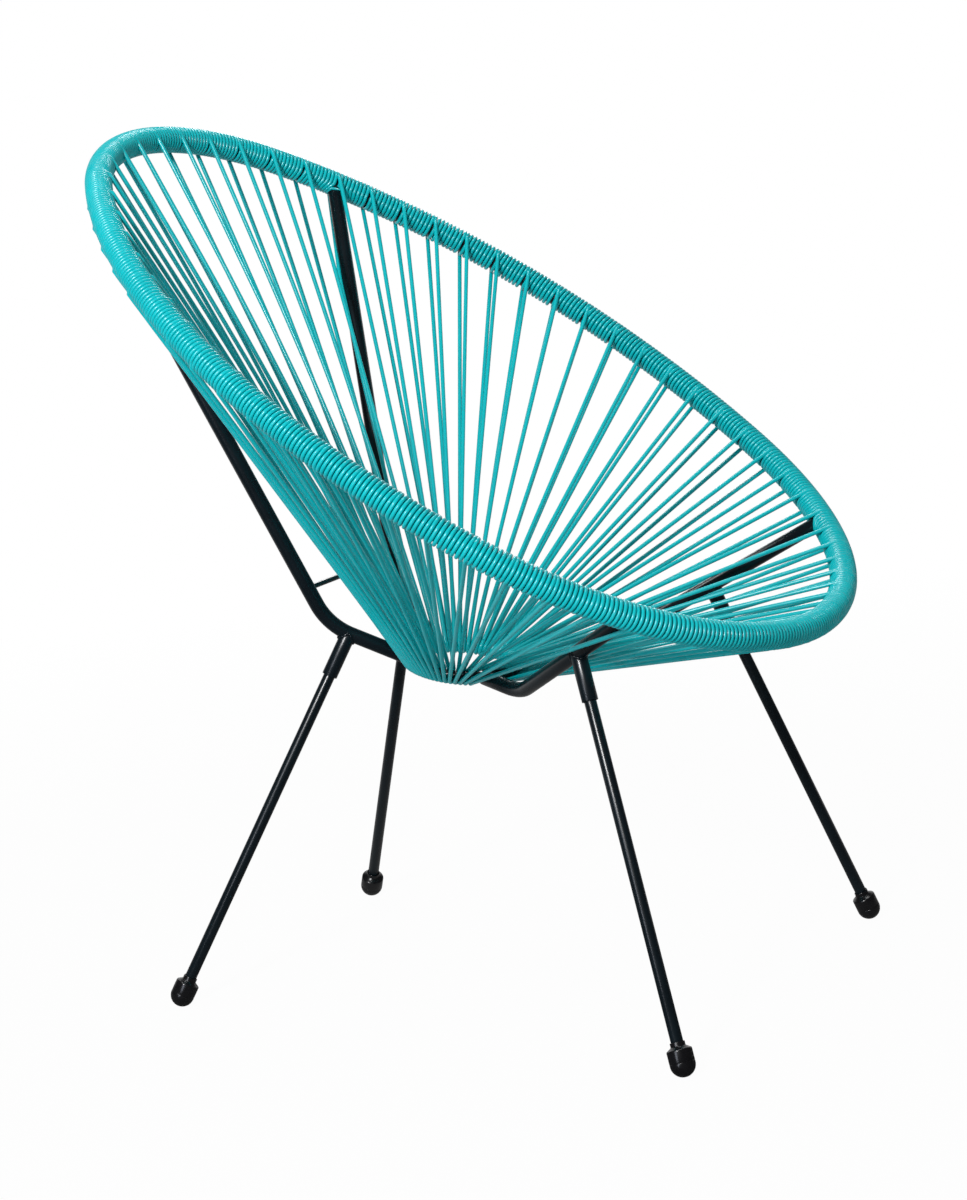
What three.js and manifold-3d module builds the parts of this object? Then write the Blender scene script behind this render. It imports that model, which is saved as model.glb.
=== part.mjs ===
// Acapulco chair: a tilted oval hoop on a small hub ring and four bent tubes, with four
// straight legs, woven all round with one kind of plastic cord.
// Millimetres, +Z up, the front at -Y, feet on Z = 0. Left means the -X side.

import * as THREE from 'three';
import { mergeVertices } from 'three/addons/utils/BufferGeometryUtils.js';
import Module from 'manifold-3d';

const wasm = await Module();
wasm.setup();

// Hoop: an oval of tangent arcs in a tilted plane, its sides bowed a little below that plane
const hoopTubeDiameter = 20;
const hoopHalfWidth = 346.8;
const hoopFrontReach = 420.4;
const hoopBackReach = 457.3;
const hoopFrontFullnessShare = 1.4367;
const hoopBackFullnessShare = 1.1038;
const hoopCentreHeight = 619.8;
const hoopSideBow = 6.8;
const hoopTiltDegrees = 34.88;

// Hub ring: a small rod ring under the seat, its front a little lower than its back
const hubRingRadius = 55.9;
const hubRodDiameter = 10;
const hubCentreY = 35;
const hubCentreHeight = 330.7;
const hubTiltDegrees = 10.57;

// Bent tubes from the hub ring to the hoop, each with one bend
const frameTubeDiameter = 15.5;
const rearTubeArc = 988.8;
const rearTubeHubDegrees = 145;
const rearTubeBend = new THREE.Vector3(73.3, 149, 381.1);
const rearTubeBendRadius = 70;
const frontTubeArc = 266.7;
const frontTubeHubDegrees = 41;
const frontTubeBend = new THREE.Vector3(57.2, -59.9, 313.4);
const frontTubeBendRadius = 60;
const tubeEndSetback = 2.6;

// Thin bar that ties the two rear tubes together just above their bends
const crossBarDiameter = 5.5;
const crossBarTubeShare = 0.095;

// Legs: straight rods screwed into sockets under the tubes, with push-on foot caps
const legDiameter = 12;
const rearLegTubeShare = 0.261;
const frontLegTubeShare = 0.553;
const rearFootX = 196.2;
const rearFootY = 292.1;
const frontFootX = 244.4;
const frontFootY = -298.7;
const socketDiameter = 16;
const socketLength = 48;
const socketTopDrop = 3;
const socketBoreStart = 15;
const footBodyDiameter = 24.6;
const footBodyLength = 14.3;
const footShoulderBevel = 1.1;
const footShoulderRise = 2.3;
const footCollarDiameter = 14.4;
const footCollarLength = 21;
const footFlatDepth = 0.7;
const footBoreDepth = 23;

// Cord: wound round the hoop in packets, with an inner and an outer strand at each packet's end
const cordDiameter = 4.5;
const strandSideShare = 0.72;
const packetGrooveDepth = 1.6;
const strandGap = 5.4;
const strandOverrun = 0.5;
const strandLift = 0.8;
const hoopRoomAtTube = 12;
const hubRoomBeforeFrontTube = 18.5;
const hubRoomBehindFrontTube = 11.5;
const hubRoomAtRearTube = 12.4;
const loopEaseShare = 0.25;
const crossingSlopeShare = 0.7;
const sectorSeam = 0.6;
const seamDistanceFromLoop = 4;

// Clearance that every fitted or touching pair of pieces keeps, and how far a cut runs past them
const fitClearance = 0.3;
const cutOverrun = 40;

// Counts: how many packets each stretch of hoop between two tubes holds
const frontPackets = 16;
const sidePackets = 18;
const rearPackets = 12;

const hoopSides = 8;
const roundSides = 12;
const footSides = 20;
const footArcSteps = 4;
const bendSteps = 6;
const hubRingSteps = 36;
const strandSides = 4;
const loopSteps = 4;

const up = new THREE.Vector3(0, 0, 1);
const across = new THREE.Vector3(1, 0, 0);
const hoopTilt = THREE.MathUtils.degToRad(hoopTiltDegrees);
const hubTilt = THREE.MathUtils.degToRad(hubTiltDegrees);
const hoopRise = new THREE.Vector3(0, Math.cos(hoopTilt), Math.sin(hoopTilt));
const hoopNormal = new THREE.Vector3(0, -Math.sin(hoopTilt), Math.cos(hoopTilt));
const hubRise = new THREE.Vector3(0, Math.cos(hubTilt), Math.sin(hubTilt));
const hubNormal = new THREE.Vector3(0, -Math.sin(hubTilt), Math.cos(hubTilt));

const cordRadius = cordDiameter / 2;
const hoopRadius = hoopTubeDiameter / 2;
const frameTubeRadius = frameTubeDiameter / 2;
const hubRodRadius = hubRodDiameter / 2;
const wrapRadius = hoopRadius + cordDiameter;
const strandSide = cordDiameter * strandSideShare;
const strandRadius = strandSide / Math.SQRT2;

const finishes = {
  cord: { color: 0x00aab2, roughness: 0.25, metalness: 0 },
  frame: { color: 0x101112, roughness: 0.4, metalness: 0.1 },
  foot: { color: 0x0b0b0c, roughness: 0.3, metalness: 0 },
};

const chair = new THREE.Group();

function addPiece(name, geometry, finish) {
  const flat = geometry.index ? geometry.toNonIndexed() : geometry;
  flat.deleteAttribute('uv');
  flat.computeVertexNormals();
  const mesh = new THREE.Mesh(flat, new THREE.MeshStandardMaterial(finishes[finish]));
  mesh.name = name;
  chair.add(mesh);
}

// Turns a closed geometry into a solid that can be joined and cut
function solidOf(geometry) {
  const bare = geometry.clone();
  bare.deleteAttribute('normal');
  bare.deleteAttribute('uv');
  const merged = mergeVertices(bare);
  const mesh = new wasm.Mesh({
    numProp: 3,
    vertProperties: new Float32Array(merged.attributes.position.array),
    triVerts: new Uint32Array(merged.index.array),
  });
  return new wasm.Manifold(mesh);
}

function geometryOf(solid) {
  const mesh = solid.getMesh();
  const geometry = new THREE.BufferGeometry();
  geometry.setAttribute('position', new THREE.BufferAttribute(mesh.vertProperties, 3));
  geometry.setIndex(new THREE.BufferAttribute(mesh.triVerts, 1));
  return geometry;
}

function joined(geometries) {
  return geometries.map(solidOf).reduce((sum, solid) => sum.add(solid));
}

function signedVolume(points, triangles) {
  let volume = 0;
  for (const [a, b, c] of triangles) {
    volume += points[a].dot(new THREE.Vector3().crossVectors(points[b], points[c]));
  }
  return volume;
}

// A closed surface from points and triangles, turned so that its faces point out
function closedSurface(points, triangles) {
  const inwards = signedVolume(points, triangles) < 0;
  const index = triangles.flatMap(([a, b, c]) => (inwards ? [a, c, b] : [a, b, c]));
  const geometry = new THREE.BufferGeometry().setFromPoints(points);
  geometry.setIndex(index);
  return geometry;
}

function bandTriangles(first, second, sides) {
  const triangles = [];
  for (let i = 0; i < sides; i += 1) {
    const next = (i + 1) % sides;
    triangles.push([first + i, first + next, second + next]);
    triangles.push([first + i, second + next, second + i]);
  }
  return triangles;
}

function fanTriangles(first, sides) {
  return Array.from({ length: sides - 2 }, (_, i) => [first, first + i + 2, first + i + 1]);
}

// A skin over rings of points; it runs back into itself or has a flat face at each end
function skinOf(rings, runsRound) {
  const sides = rings[0].length;
  const triangles = [];
  const bands = runsRound ? rings.length : rings.length - 1;
  for (let i = 0; i < bands; i += 1) {
    triangles.push(...bandTriangles(i * sides, ((i + 1) % rings.length) * sides, sides));
  }
  if (!runsRound) {
    const last = (rings.length - 1) * sides;
    triangles.push(...fanTriangles(0, sides));
    triangles.push(...fanTriangles(last, sides).map(([a, b, c]) => [a, c, b]));
  }
  return closedSurface(rings.flat(), triangles);
}

// A sleeve with its own rings outside and in its bore, and a flat face at each end
function sleeveOf(outerRings, boreRings) {
  const sides = outerRings[0].length;
  const outerCount = outerRings.length;
  const boreStart = outerCount * sides;
  const triangles = [];
  for (let i = 0; i + 1 < outerCount; i += 1) {
    triangles.push(...bandTriangles(i * sides, (i + 1) * sides, sides));
  }
  for (let i = 0; i + 1 < boreRings.length; i += 1) {
    const first = boreStart + i * sides;
    triangles.push(...bandTriangles(first + sides, first, sides));
  }
  triangles.push(...bandTriangles(boreStart, 0, sides));
  const lastBore = boreStart + (boreRings.length - 1) * sides;
  triangles.push(...bandTriangles((outerCount - 1) * sides, lastBore, sides));
  return closedSurface([...outerRings, ...boreRings].flat(), triangles);
}

function sectionRing(centre, sideways, upwards, radius, sides) {
  return Array.from({ length: sides }, (_, i) => {
    const angle = ((i + 0.5) / sides) * 2 * Math.PI;
    return centre.clone()
      .addScaledVector(sideways, Math.cos(angle) * radius)
      .addScaledVector(upwards, Math.sin(angle) * radius);
  });
}

// A rod of an even-sided section along a line of points, with its flats facing the reference
function rodAlong(points, radius, sides, reference, runsRound = false) {
  const count = points.length;
  let upwards = reference.clone();
  const rings = points.map((point, i) => {
    const before = runsRound ? points[(i + count - 1) % count] : points[Math.max(i - 1, 0)];
    const after = runsRound ? points[(i + 1) % count] : points[Math.min(i + 1, count - 1)];
    const along = after.clone().sub(point).normalize().add(point.clone().sub(before).normalize());
    along.normalize();
    upwards = upwards.clone().addScaledVector(along, -upwards.dot(along)).normalize();
    const sideways = new THREE.Vector3().crossVectors(along, upwards);
    return sectionRing(point, sideways, upwards, radius, sides);
  });
  return skinOf(rings, runsRound);
}

// The points of a pipe with one bend of the given radius at its corner
function bentLine(start, corner, end, bendRadius) {
  const back = start.clone().sub(corner).normalize();
  const onward = end.clone().sub(corner).normalize();
  const halfAngle = back.angleTo(onward) / 2;
  const middle = back.clone().add(onward).normalize();
  const centre = corner.clone().addScaledVector(middle, bendRadius / Math.sin(halfAngle));
  const bendStart = corner.clone().addScaledVector(back, bendRadius / Math.tan(halfAngle));
  const bendEnd = corner.clone().addScaledVector(onward, bendRadius / Math.tan(halfAngle));
  const from = bendStart.sub(centre);
  const to = bendEnd.sub(centre);
  const turn = from.angleTo(to);
  const axle = new THREE.Vector3().crossVectors(from, to).normalize();
  const bend = Array.from({ length: bendSteps + 1 }, (_, i) => {
    return from.clone().applyAxisAngle(axle, (turn * i) / bendSteps).add(centre);
  });
  return [start, ...bend, end];
}

// One end of the hoop's oval: a side arc and a nose arc that meet smoothly. A fullness of one
// is the flattest side arc that still reaches the end, where the nose shrinks to a point
function ovalEnd(reach, fullnessShare) {
  const flattest = (hoopHalfWidth ** 2 + reach ** 2) / (2 * hoopHalfWidth);
  const side = fullnessShare * flattest;
  const nose = ((side - flattest) * hoopHalfWidth) / (side - reach);
  return { side, nose, sweep: Math.atan2(reach - nose, side - hoopHalfWidth) };
}

// Half of the hoop's oval in its own plane, as arcs from the front centre to the back centre
function hoopArcs() {
  const front = ovalEnd(hoopFrontReach, hoopFrontFullnessShare);
  const back = ovalEnd(hoopBackReach, hoopBackFullnessShare);
  const quarter = Math.PI / 2;
  return [
    { x: 0, u: front.nose - hoopFrontReach, radius: front.nose, from: -quarter, to: -front.sweep },
    { x: hoopHalfWidth - front.side, u: 0, radius: front.side, from: -front.sweep, to: 0 },
    { x: hoopHalfWidth - back.side, u: 0, radius: back.side, from: 0, to: back.sweep },
    { x: 0, u: hoopBackReach - back.nose, radius: back.nose, from: back.sweep, to: quarter },
  ];
}

const ovalArcs = hoopArcs();
const hoopHalfLength = ovalArcs.reduce((sum, arc) => sum + arc.radius * (arc.to - arc.from), 0);
const hoopLength = 2 * hoopHalfLength;
const hoopMeanReach = (hoopFrontReach + hoopBackReach) / 2;
const hoopCentre = new THREE.Vector3(
  0, ((hoopFrontReach - hoopBackReach) / 2) * Math.cos(hoopTilt), hoopCentreHeight);

// The hoop's centre line, by the length of tube from the front centre towards the left, -X
function hoopPoint(arcLength) {
  const round = THREE.MathUtils.euclideanModulo(arcLength, hoopLength);
  const mirrored = round > hoopHalfLength;
  let rest = mirrored ? hoopLength - round : round;
  let arc = ovalArcs[0];
  for (arc of ovalArcs) {
    const length = arc.radius * (arc.to - arc.from);
    if (rest <= length) break;
    rest -= arc === ovalArcs[ovalArcs.length - 1] ? 0 : length;
  }
  const angle = arc.from + rest / arc.radius;
  const x = arc.x + arc.radius * Math.cos(angle);
  const u = arc.u + arc.radius * Math.sin(angle);
  const bow = hoopSideBow * (1 - (u / hoopMeanReach) ** 2);
  return hoopCentre.clone()
    .addScaledVector(across, mirrored ? x : -x)
    .addScaledVector(hoopRise, u)
    .addScaledVector(hoopNormal, -bow);
}

function hoopFrame(arcLength) {
  const centre = hoopPoint(arcLength);
  const ahead = hoopPoint(arcLength + cordRadius);
  const along = ahead.sub(hoopPoint(arcLength - cordRadius)).normalize();
  const above = hoopNormal.clone().addScaledVector(along, -hoopNormal.dot(along)).normalize();
  const outwards = new THREE.Vector3().crossVectors(above, along);
  return { centre, along, above, outwards };
}

function hoopRing(arcLength, radius) {
  const frame = hoopFrame(arcLength);
  return sectionRing(frame.centre, frame.outwards, frame.above, radius, hoopSides);
}

// The hub ring's centre line and its radial direction, by the angle from the front towards -X
function hubFrame(angle) {
  const outwards = new THREE.Vector3()
    .addScaledVector(across, -Math.sin(angle))
    .addScaledVector(hubRise, -Math.cos(angle));
  const centre = new THREE.Vector3(0, hubCentreY, hubCentreHeight)
    .addScaledVector(outwards, hubRingRadius);
  return { centre, outwards };
}

function hubRod(radius) {
  const points = Array.from({ length: hubRingSteps }, (_, i) => {
    return hubFrame((i / hubRingSteps) * 2 * Math.PI).centre;
  });
  return rodAlong(points, radius, hoopSides, hubNormal, true);
}

// Each stretch of hoop between two tubes, with its packets, and the stretch of the hub ring that
// holds its loops; the cord crosses under the left front tube, so its loop there lies behind it
const frontTubeAngle = THREE.MathUtils.degToRad(frontTubeHubDegrees);
const rearTubeAngle = THREE.MathUtils.degToRad(rearTubeHubDegrees);
const hubOuterRadius = hubRingRadius + hubRodRadius + cordRadius;
const roomBefore = hubRoomBeforeFrontTube / hubOuterRadius;
const roomBehind = hubRoomBehindFrontTube / hubOuterRadius;
const roomAtRear = hubRoomAtRearTube / hubOuterRadius;
const fullTurn = 2 * Math.PI;

const stretches = [
  {
    names: ['front_right', 'front_middle', 'front_left'],
    packets: frontPackets,
    loops: frontPackets - 1,
    from: -frontTubeArc,
    to: frontTubeArc,
    outsideFrom: -frontTubeAngle + roomBefore,
    outsideTo: frontTubeAngle - roomBefore,
    easeShare: 0,
  },
  {
    names: ['left_1', 'left_2', 'left_3', 'left_4'],
    packets: sidePackets,
    loops: sidePackets + 1,
    from: frontTubeArc,
    to: rearTubeArc,
    outsideFrom: frontTubeAngle + roomBehind,
    outsideTo: rearTubeAngle - roomAtRear,
    easeShare: loopEaseShare,
  },
  {
    names: ['rear_left', 'rear_middle', 'rear_right'],
    packets: rearPackets,
    loops: rearPackets,
    from: rearTubeArc,
    to: hoopLength - rearTubeArc,
    outsideFrom: rearTubeAngle + roomAtRear,
    outsideTo: fullTurn - rearTubeAngle - roomAtRear,
    easeShare: 0,
  },
  {
    names: ['right_4', 'right_3', 'right_2', 'right_1'],
    packets: sidePackets,
    loops: sidePackets,
    from: hoopLength - rearTubeArc,
    to: hoopLength - frontTubeArc,
    outsideFrom: fullTurn - rearTubeAngle + roomAtRear,
    outsideTo: fullTurn - frontTubeAngle - roomBehind,
    easeShare: -loopEaseShare,
  },
];

function between(from, to, share) {
  return from + (to - from) * share;
}

// The hub angles of the cord's loops: inside the ring they are spread evenly, and outside it
// they leave the tubes room and lie further apart towards the front
function loopsRound() {
  const total = stretches.reduce((sum, stretch) => sum + stretch.loops, 0);
  const loopAngle = fullTurn / total;
  const firstInside = (-(frontPackets - 2) / 2) * loopAngle;
  const outside = stretches.flatMap((stretch) => Array.from({ length: stretch.loops }, (_, i) => {
    const share = (i + 0.5) / stretch.loops;
    const eased = share + stretch.easeShare * share * (1 - share);
    return between(stretch.outsideFrom, stretch.outsideTo, eased);
  }));
  return outside.map((angle, i) => ({ outside: angle, inside: firstInside + i * loopAngle }));
}

// The packets all the way round; the strands at a packet's ends keep clear of a tube there
function packetsRound() {
  return stretches.flatMap((stretch) => Array.from({ length: stretch.packets }, (_, i) => {
    const count = stretch.packets;
    const start = between(stretch.from, stretch.to, i / count);
    const end = between(stretch.from, stretch.to, (i + 1) / count);
    return {
      start,
      end,
      innerArc: start + (i === 0 ? hoopRoomAtTube : strandGap / 2),
      outerArc: end - (i === count - 1 ? hoopRoomAtTube : strandGap / 2),
    };
  }));
}

// The corner points of the four bent tubes; side is -1 on the left and 1 on the right
function tubeLine(end, side) {
  const isRear = end === 'rear';
  const line = {
    hoop: hoopPoint(isRear ? rearTubeArc : frontTubeArc),
    hub: hubFrame(isRear ? rearTubeAngle : frontTubeAngle).centre,
    bend: (isRear ? rearTubeBend : frontTubeBend).clone(),
  };
  line.hoop.x = side * Math.abs(line.hoop.x);
  line.hub.x = side * Math.abs(line.hub.x);
  line.bend.x *= side;
  return line;
}

const tubeStretches = ['rear', 'front'].flatMap((end) => [-1, 1].flatMap((side) => {
  const line = tubeLine(end, side);
  return [[line.hub, line.bend], [line.bend, line.hoop]];
}));

// The strand's end at the rim: above the hoop for the inner layer, below it for the outer
function strandEnd(arcLength, hubPoint, layer) {
  const frame = hoopFrame(arcLength);
  const towards = hubPoint.clone().sub(frame.centre);
  towards.addScaledVector(frame.along, -towards.dot(frame.along)).normalize();
  const face = new THREE.Vector3().crossVectors(towards, frame.along).normalize();
  const side = Math.sign(face.dot(frame.above)) * layer;
  return frame.centre.clone()
    .addScaledVector(face, side * (hoopRadius + strandLift + strandSide / 2))
    .addScaledVector(towards, -strandOverrun);
}

// The cord's half turn under the hub ring, from its outer side to its inner side
function loopPoints(loop, outerEnd, innerEnd) {
  const step = Math.PI / loopSteps;
  const inscribed = hubRodRadius + strandLift + strandSide / 2;
  const radius = inscribed / Math.cos(step / 2);
  return Array.from({ length: loopSteps }, (_, i) => {
    const share = (i + 0.5) / loopSteps;
    const frame = hubFrame(between(loop.outside, loop.inside, share));
    const rise = (share < 0.5 ? outerEnd : innerEnd).clone().sub(frame.centre);
    const slope = Math.atan2(rise.dot(hubNormal), rise.dot(frame.outwards));
    const angle = slope - Math.PI / 2 - Math.PI * share;
    return frame.centre.clone()
      .addScaledVector(frame.outwards, Math.cos(angle) * radius)
      .addScaledVector(hubNormal, Math.sin(angle) * radius);
  });
}

// Where two straight pieces of line come closest, as shares of their lengths
function closestShares(a, b, c, d) {
  const first = b.clone().sub(a);
  const second = d.clone().sub(c);
  const offset = a.clone().sub(c);
  const mixed = first.dot(second);
  const spread = first.lengthSq() * second.lengthSq() - mixed ** 2;
  const share = (mixed * second.dot(offset) - second.lengthSq() * first.dot(offset)) / spread;
  const onFirst = THREE.MathUtils.clamp(share, 0, 1);
  const onSecond = (mixed * onFirst + second.dot(offset)) / second.lengthSq();
  return [onFirst, THREE.MathUtils.clamp(onSecond, 0, 1)];
}

// A strand's line, led round each tube that it would run into: an outer strand passes below the
// tube that it crosses and an inner one above it, and one beside a tube stays on its own side
function roundTubes(start, end, layer) {
  const need = frameTubeRadius + fitClearance + strandRadius;
  const line = [start];
  for (const [from, to] of tubeStretches) {
    const [onStrand, onTube] = closestShares(start, end, from, to);
    const strandPoint = start.clone().lerp(end, onStrand);
    const tubePoint = from.clone().lerp(to, onTube);
    const apart = strandPoint.clone().sub(tubePoint);
    if (apart.length() >= need || onStrand <= 0 || onStrand >= 1) continue;
    const away = new THREE.Vector3().crossVectors(end.clone().sub(start), to.clone().sub(from));
    away.normalize();
    const crossesOver = Math.abs(away.dot(hubNormal)) > crossingSlopeShare;
    const sign = crossesOver ? Math.sign(away.dot(hubNormal)) * layer : Math.sign(away.dot(apart));
    line.push(tubePoint.addScaledVector(away, sign * need));
  }
  line.push(end);
  return line;
}

// The line of one outer strand, its loop and the next packet's inner strand, and where a
// seam parts it at a sector's end, the lines of its two parts
function strandLines(packet, loop, nextPacket, endsSector) {
  const outerEnd = strandEnd(packet.outerArc, hubFrame(loop.outside).centre, -1);
  const innerEnd = strandEnd(nextPacket.innerArc, hubFrame(loop.inside).centre, 1);
  const turn = loopPoints(loop, outerEnd, innerEnd);
  const down = roundTubes(outerEnd, turn[0], -1);
  const last = turn[turn.length - 1];
  if (!endsSector) return { own: [...down, ...turn.slice(1), innerEnd] };
  const beforeSeam = alongLine(last, innerEnd, seamDistanceFromLoop);
  const afterSeam = alongLine(last, innerEnd, seamDistanceFromLoop + sectorSeam);
  return { own: [...down, ...turn.slice(1), beforeSeam], next: [afterSeam, innerEnd] };
}

function strandRod(line, extra = 0) {
  return rodAlong(line, strandRadius + extra, strandSides, hubNormal.clone().negate());
}

// The wound sleeve of a sector: each packet of cord swells a little between its two grooves
function sectorSleeve(packets) {
  const first = packets[0].start + sectorSeam / 2;
  const last = packets[packets.length - 1].end - sectorSeam / 2;
  const grooveRadius = wrapRadius - packetGrooveDepth;
  const outer = [hoopRing(first, grooveRadius)];
  for (const packet of packets) {
    outer.push(hoopRing((packet.start + packet.end) / 2, wrapRadius));
    outer.push(hoopRing(Math.min(packet.end, last), grooveRadius));
  }
  const boreRadius = hoopRadius + fitClearance / Math.cos(Math.PI / hoopSides);
  const stations = [first, ...packets.slice(1).map((packet) => packet.start), last];
  return sleeveOf(outer, stations.map((station) => hoopRing(station, boreRadius)));
}

function addHoop(packets) {
  const rings = packets.map((packet) => hoopRing(packet.start, hoopRadius));
  addPiece('frame_hoop', skinOf(rings, true), 'frame');
}

// The web's sectors in order round the hoop, each with the packets that it holds
function sectorsRound(packets) {
  let first = 0;
  return stretches.flatMap((stretch) => {
    const start = first;
    first += stretch.packets;
    return stretch.names.map((name, i) => {
      const begin = start + Math.round((stretch.packets * i) / stretch.names.length);
      const end = start + Math.round((stretch.packets * (i + 1)) / stretch.names.length);
      return { name, begin, own: packets.slice(begin, end) };
    });
  });
}

function addWeb(packets, loops, fatTubes) {
  const sectors = sectorsRound(packets);
  for (const sector of sectors) {
    sector.lines = sector.own.map((packet, k) => {
      const next = packets[(sector.begin + k + 1) % packets.length];
      const loop = loops[sector.begin + k];
      return strandLines(packet, loop, next, k === sector.own.length - 1);
    });
  }
  sectors.forEach((sector, i) => {
    const previous = sectors[(i + sectors.length - 1) % sectors.length].lines.at(-1);
    const following = sector.lines.at(-1);
    const before = solidOf(strandRod(previous.own, fitClearance));
    const after = solidOf(strandRod(following.next, fitClearance));
    const strands = [...sector.lines.map((line) => strandRod(line.own)), strandRod(previous.next)];
    const sleeve = solidOf(sectorSleeve(sector.own)).subtract(before.add(after)).subtract(fatTubes);
    const solid = sleeve.add(joined(strands)).subtract(before);
    addPiece(`cord_web_${sector.name}`, geometryOf(solid), 'cord');
  });
}

function tubeRod(line, bendRadius, radius) {
  const shortened = line.hub.clone()
    .addScaledVector(line.bend.clone().sub(line.hub).normalize(), tubeEndSetback);
  return rodAlong(bentLine(line.hoop, line.bend, shortened, bendRadius), radius, roundSides, up);
}

function alongLine(start, end, distance) {
  return start.clone().addScaledVector(end.clone().sub(start).normalize(), distance);
}

// A geometry turned on the Y axis by LatheGeometry, stood on a line that runs down from its top
function turnedAlong(profile, top, bottom, sides) {
  const outline = profile.map(([radius, depth]) => new THREE.Vector2(radius, -depth)).reverse();
  const geometry = new THREE.LatheGeometry(outline, sides);
  const down = bottom.clone().sub(top).normalize();
  const turn = new THREE.Quaternion().setFromUnitVectors(new THREE.Vector3(0, -1, 0), down);
  geometry.applyQuaternion(turn);
  geometry.translate(top.x, top.y, top.z);
  return geometry;
}

function socketProfile() {
  const bore = legDiameter / 2 + fitClearance;
  const outer = socketDiameter / 2;
  return [
    [0, socketTopDrop], [outer, socketTopDrop], [outer, socketLength],
    [bore, socketLength], [bore, socketBoreStart], [0, socketBoreStart],
  ];
}

function legProfile(length) {
  const radius = legDiameter / 2;
  const top = socketBoreStart + fitClearance;
  const bottom = length + footBoreDepth - footCollarLength - fitClearance;
  return [[0, top], [radius, top], [radius, bottom], [0, bottom]];
}

function footProfile(length) {
  const radius = footBodyDiameter / 2;
  const collar = footCollarDiameter / 2;
  const bore = legDiameter / 2 + fitClearance;
  const mouth = length - footCollarLength;
  const shoulder = length - footBodyLength;
  const arc = Array.from({ length: footArcSteps + 1 }, (_, i) => {
    const angle = (1 + i / footArcSteps) * Math.PI / 2;
    const onAxis = i === footArcSteps;
    return [onAxis ? 0 : radius * Math.sin(angle), length - radius * Math.cos(angle)];
  });
  return [
    [0, mouth + footBoreDepth],
    [bore, mouth + footBoreDepth],
    [bore, mouth],
    [collar, mouth],
    [collar, shoulder - footShoulderRise],
    [radius - footShoulderBevel, shoulder],
    [radius, shoulder + footShoulderBevel],
    ...arc,
  ];
}

function addLeg(place, tubePoint, foot, fatTube) {
  const length = tubePoint.distanceTo(foot);
  const socket = solidOf(turnedAlong(socketProfile(), tubePoint, foot, roundSides));
  addPiece(`leg_socket_${place}`, geometryOf(socket.subtract(fatTube)), 'frame');
  const rod = solidOf(turnedAlong(legProfile(length), tubePoint, foot, roundSides));
  addPiece(`leg_${place}`, geometryOf(rod), 'frame');
  const cap = solidOf(turnedAlong(footProfile(length), tubePoint, foot, footSides));
  const blockSide = footBodyDiameter + cutOverrun;
  const floorBlock = new THREE.BoxGeometry(blockSide, blockSide, cutOverrun);
  floorBlock.translate(foot.x, foot.y, -cutOverrun / 2);
  addPiece(`foot_cap_${place}`, geometryOf(cap.subtract(solidOf(floorBlock))), 'foot');
}

function addSide(side, sideName, fatHoop, fatRing) {
  const radii = { rear: rearTubeBendRadius, front: frontTubeBendRadius };
  const lines = { rear: tubeLine('rear', side), front: tubeLine('front', side) };
  const fat = {};
  for (const end of ['rear', 'front']) {
    const tube = solidOf(tubeRod(lines[end], radii[end], frameTubeRadius));
    addPiece(`${end}_tube_${sideName}`, geometryOf(tube.subtract(fatHoop).subtract(fatRing)), 'frame');
    fat[end] = solidOf(tubeRod(lines[end], radii[end], frameTubeRadius + fitClearance));
  }
  const footHeight = footBodyDiameter / 2 - footFlatDepth;
  const rearTop = lines.rear.bend.clone().lerp(lines.rear.hub, rearLegTubeShare);
  const frontTop = lines.front.bend.clone().lerp(lines.front.hoop, frontLegTubeShare);
  const rearFoot = new THREE.Vector3(side * rearFootX, rearFootY, footHeight);
  const frontFoot = new THREE.Vector3(side * frontFootX, frontFootY, footHeight);
  addLeg(`rear_${sideName}`, rearTop, rearFoot, fat.rear);
  addLeg(`front_${sideName}`, frontTop, frontFoot, fat.front);
  return fat;
}

function addCrossBar(fatTubes) {
  const line = tubeLine('rear', 1);
  const right = line.bend.clone().lerp(line.hoop, crossBarTubeShare);
  const left = new THREE.Vector3(-right.x, right.y, right.z);
  const bar = solidOf(rodAlong([left, right], crossBarDiameter / 2, hoopSides, up));
  addPiece('rear_cross_bar', geometryOf(bar.subtract(fatTubes)), 'frame');
}

const packets = packetsRound();
const fatHoop = solidOf(skinOf(packets.map((packet) => {
  return hoopRing(packet.start, hoopRadius + fitClearance / Math.cos(Math.PI / hoopSides));
}), true));
const fatRing = solidOf(hubRod(hubRodRadius + fitClearance));

addHoop(packets);
addPiece('hub_ring', hubRod(hubRodRadius), 'frame');
const right = addSide(1, 'right', fatHoop, fatRing);
const left = addSide(-1, 'left', fatHoop, fatRing);
const fatTubes = right.rear.add(right.front).add(left.rear).add(left.front);
addCrossBar(fatTubes);
addWeb(packets, loopsRound(), fatTubes);

export default chair;
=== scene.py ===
"""Looks of a cord-strung lounge chair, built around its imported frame.

The chair is a black rod and tube frame strung with one glossy turquoise PVC cord. The frame's
pieces are modelled as a welder makes them, and the cord follows its real route: over the hoop,
round it in close turns, down to the hub ring, under that and up again.
"""

import logging
import math
from dataclasses import dataclass, field
from enum import Enum

import bpy
import numpy as np
from mathutils import Matrix, Vector

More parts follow.
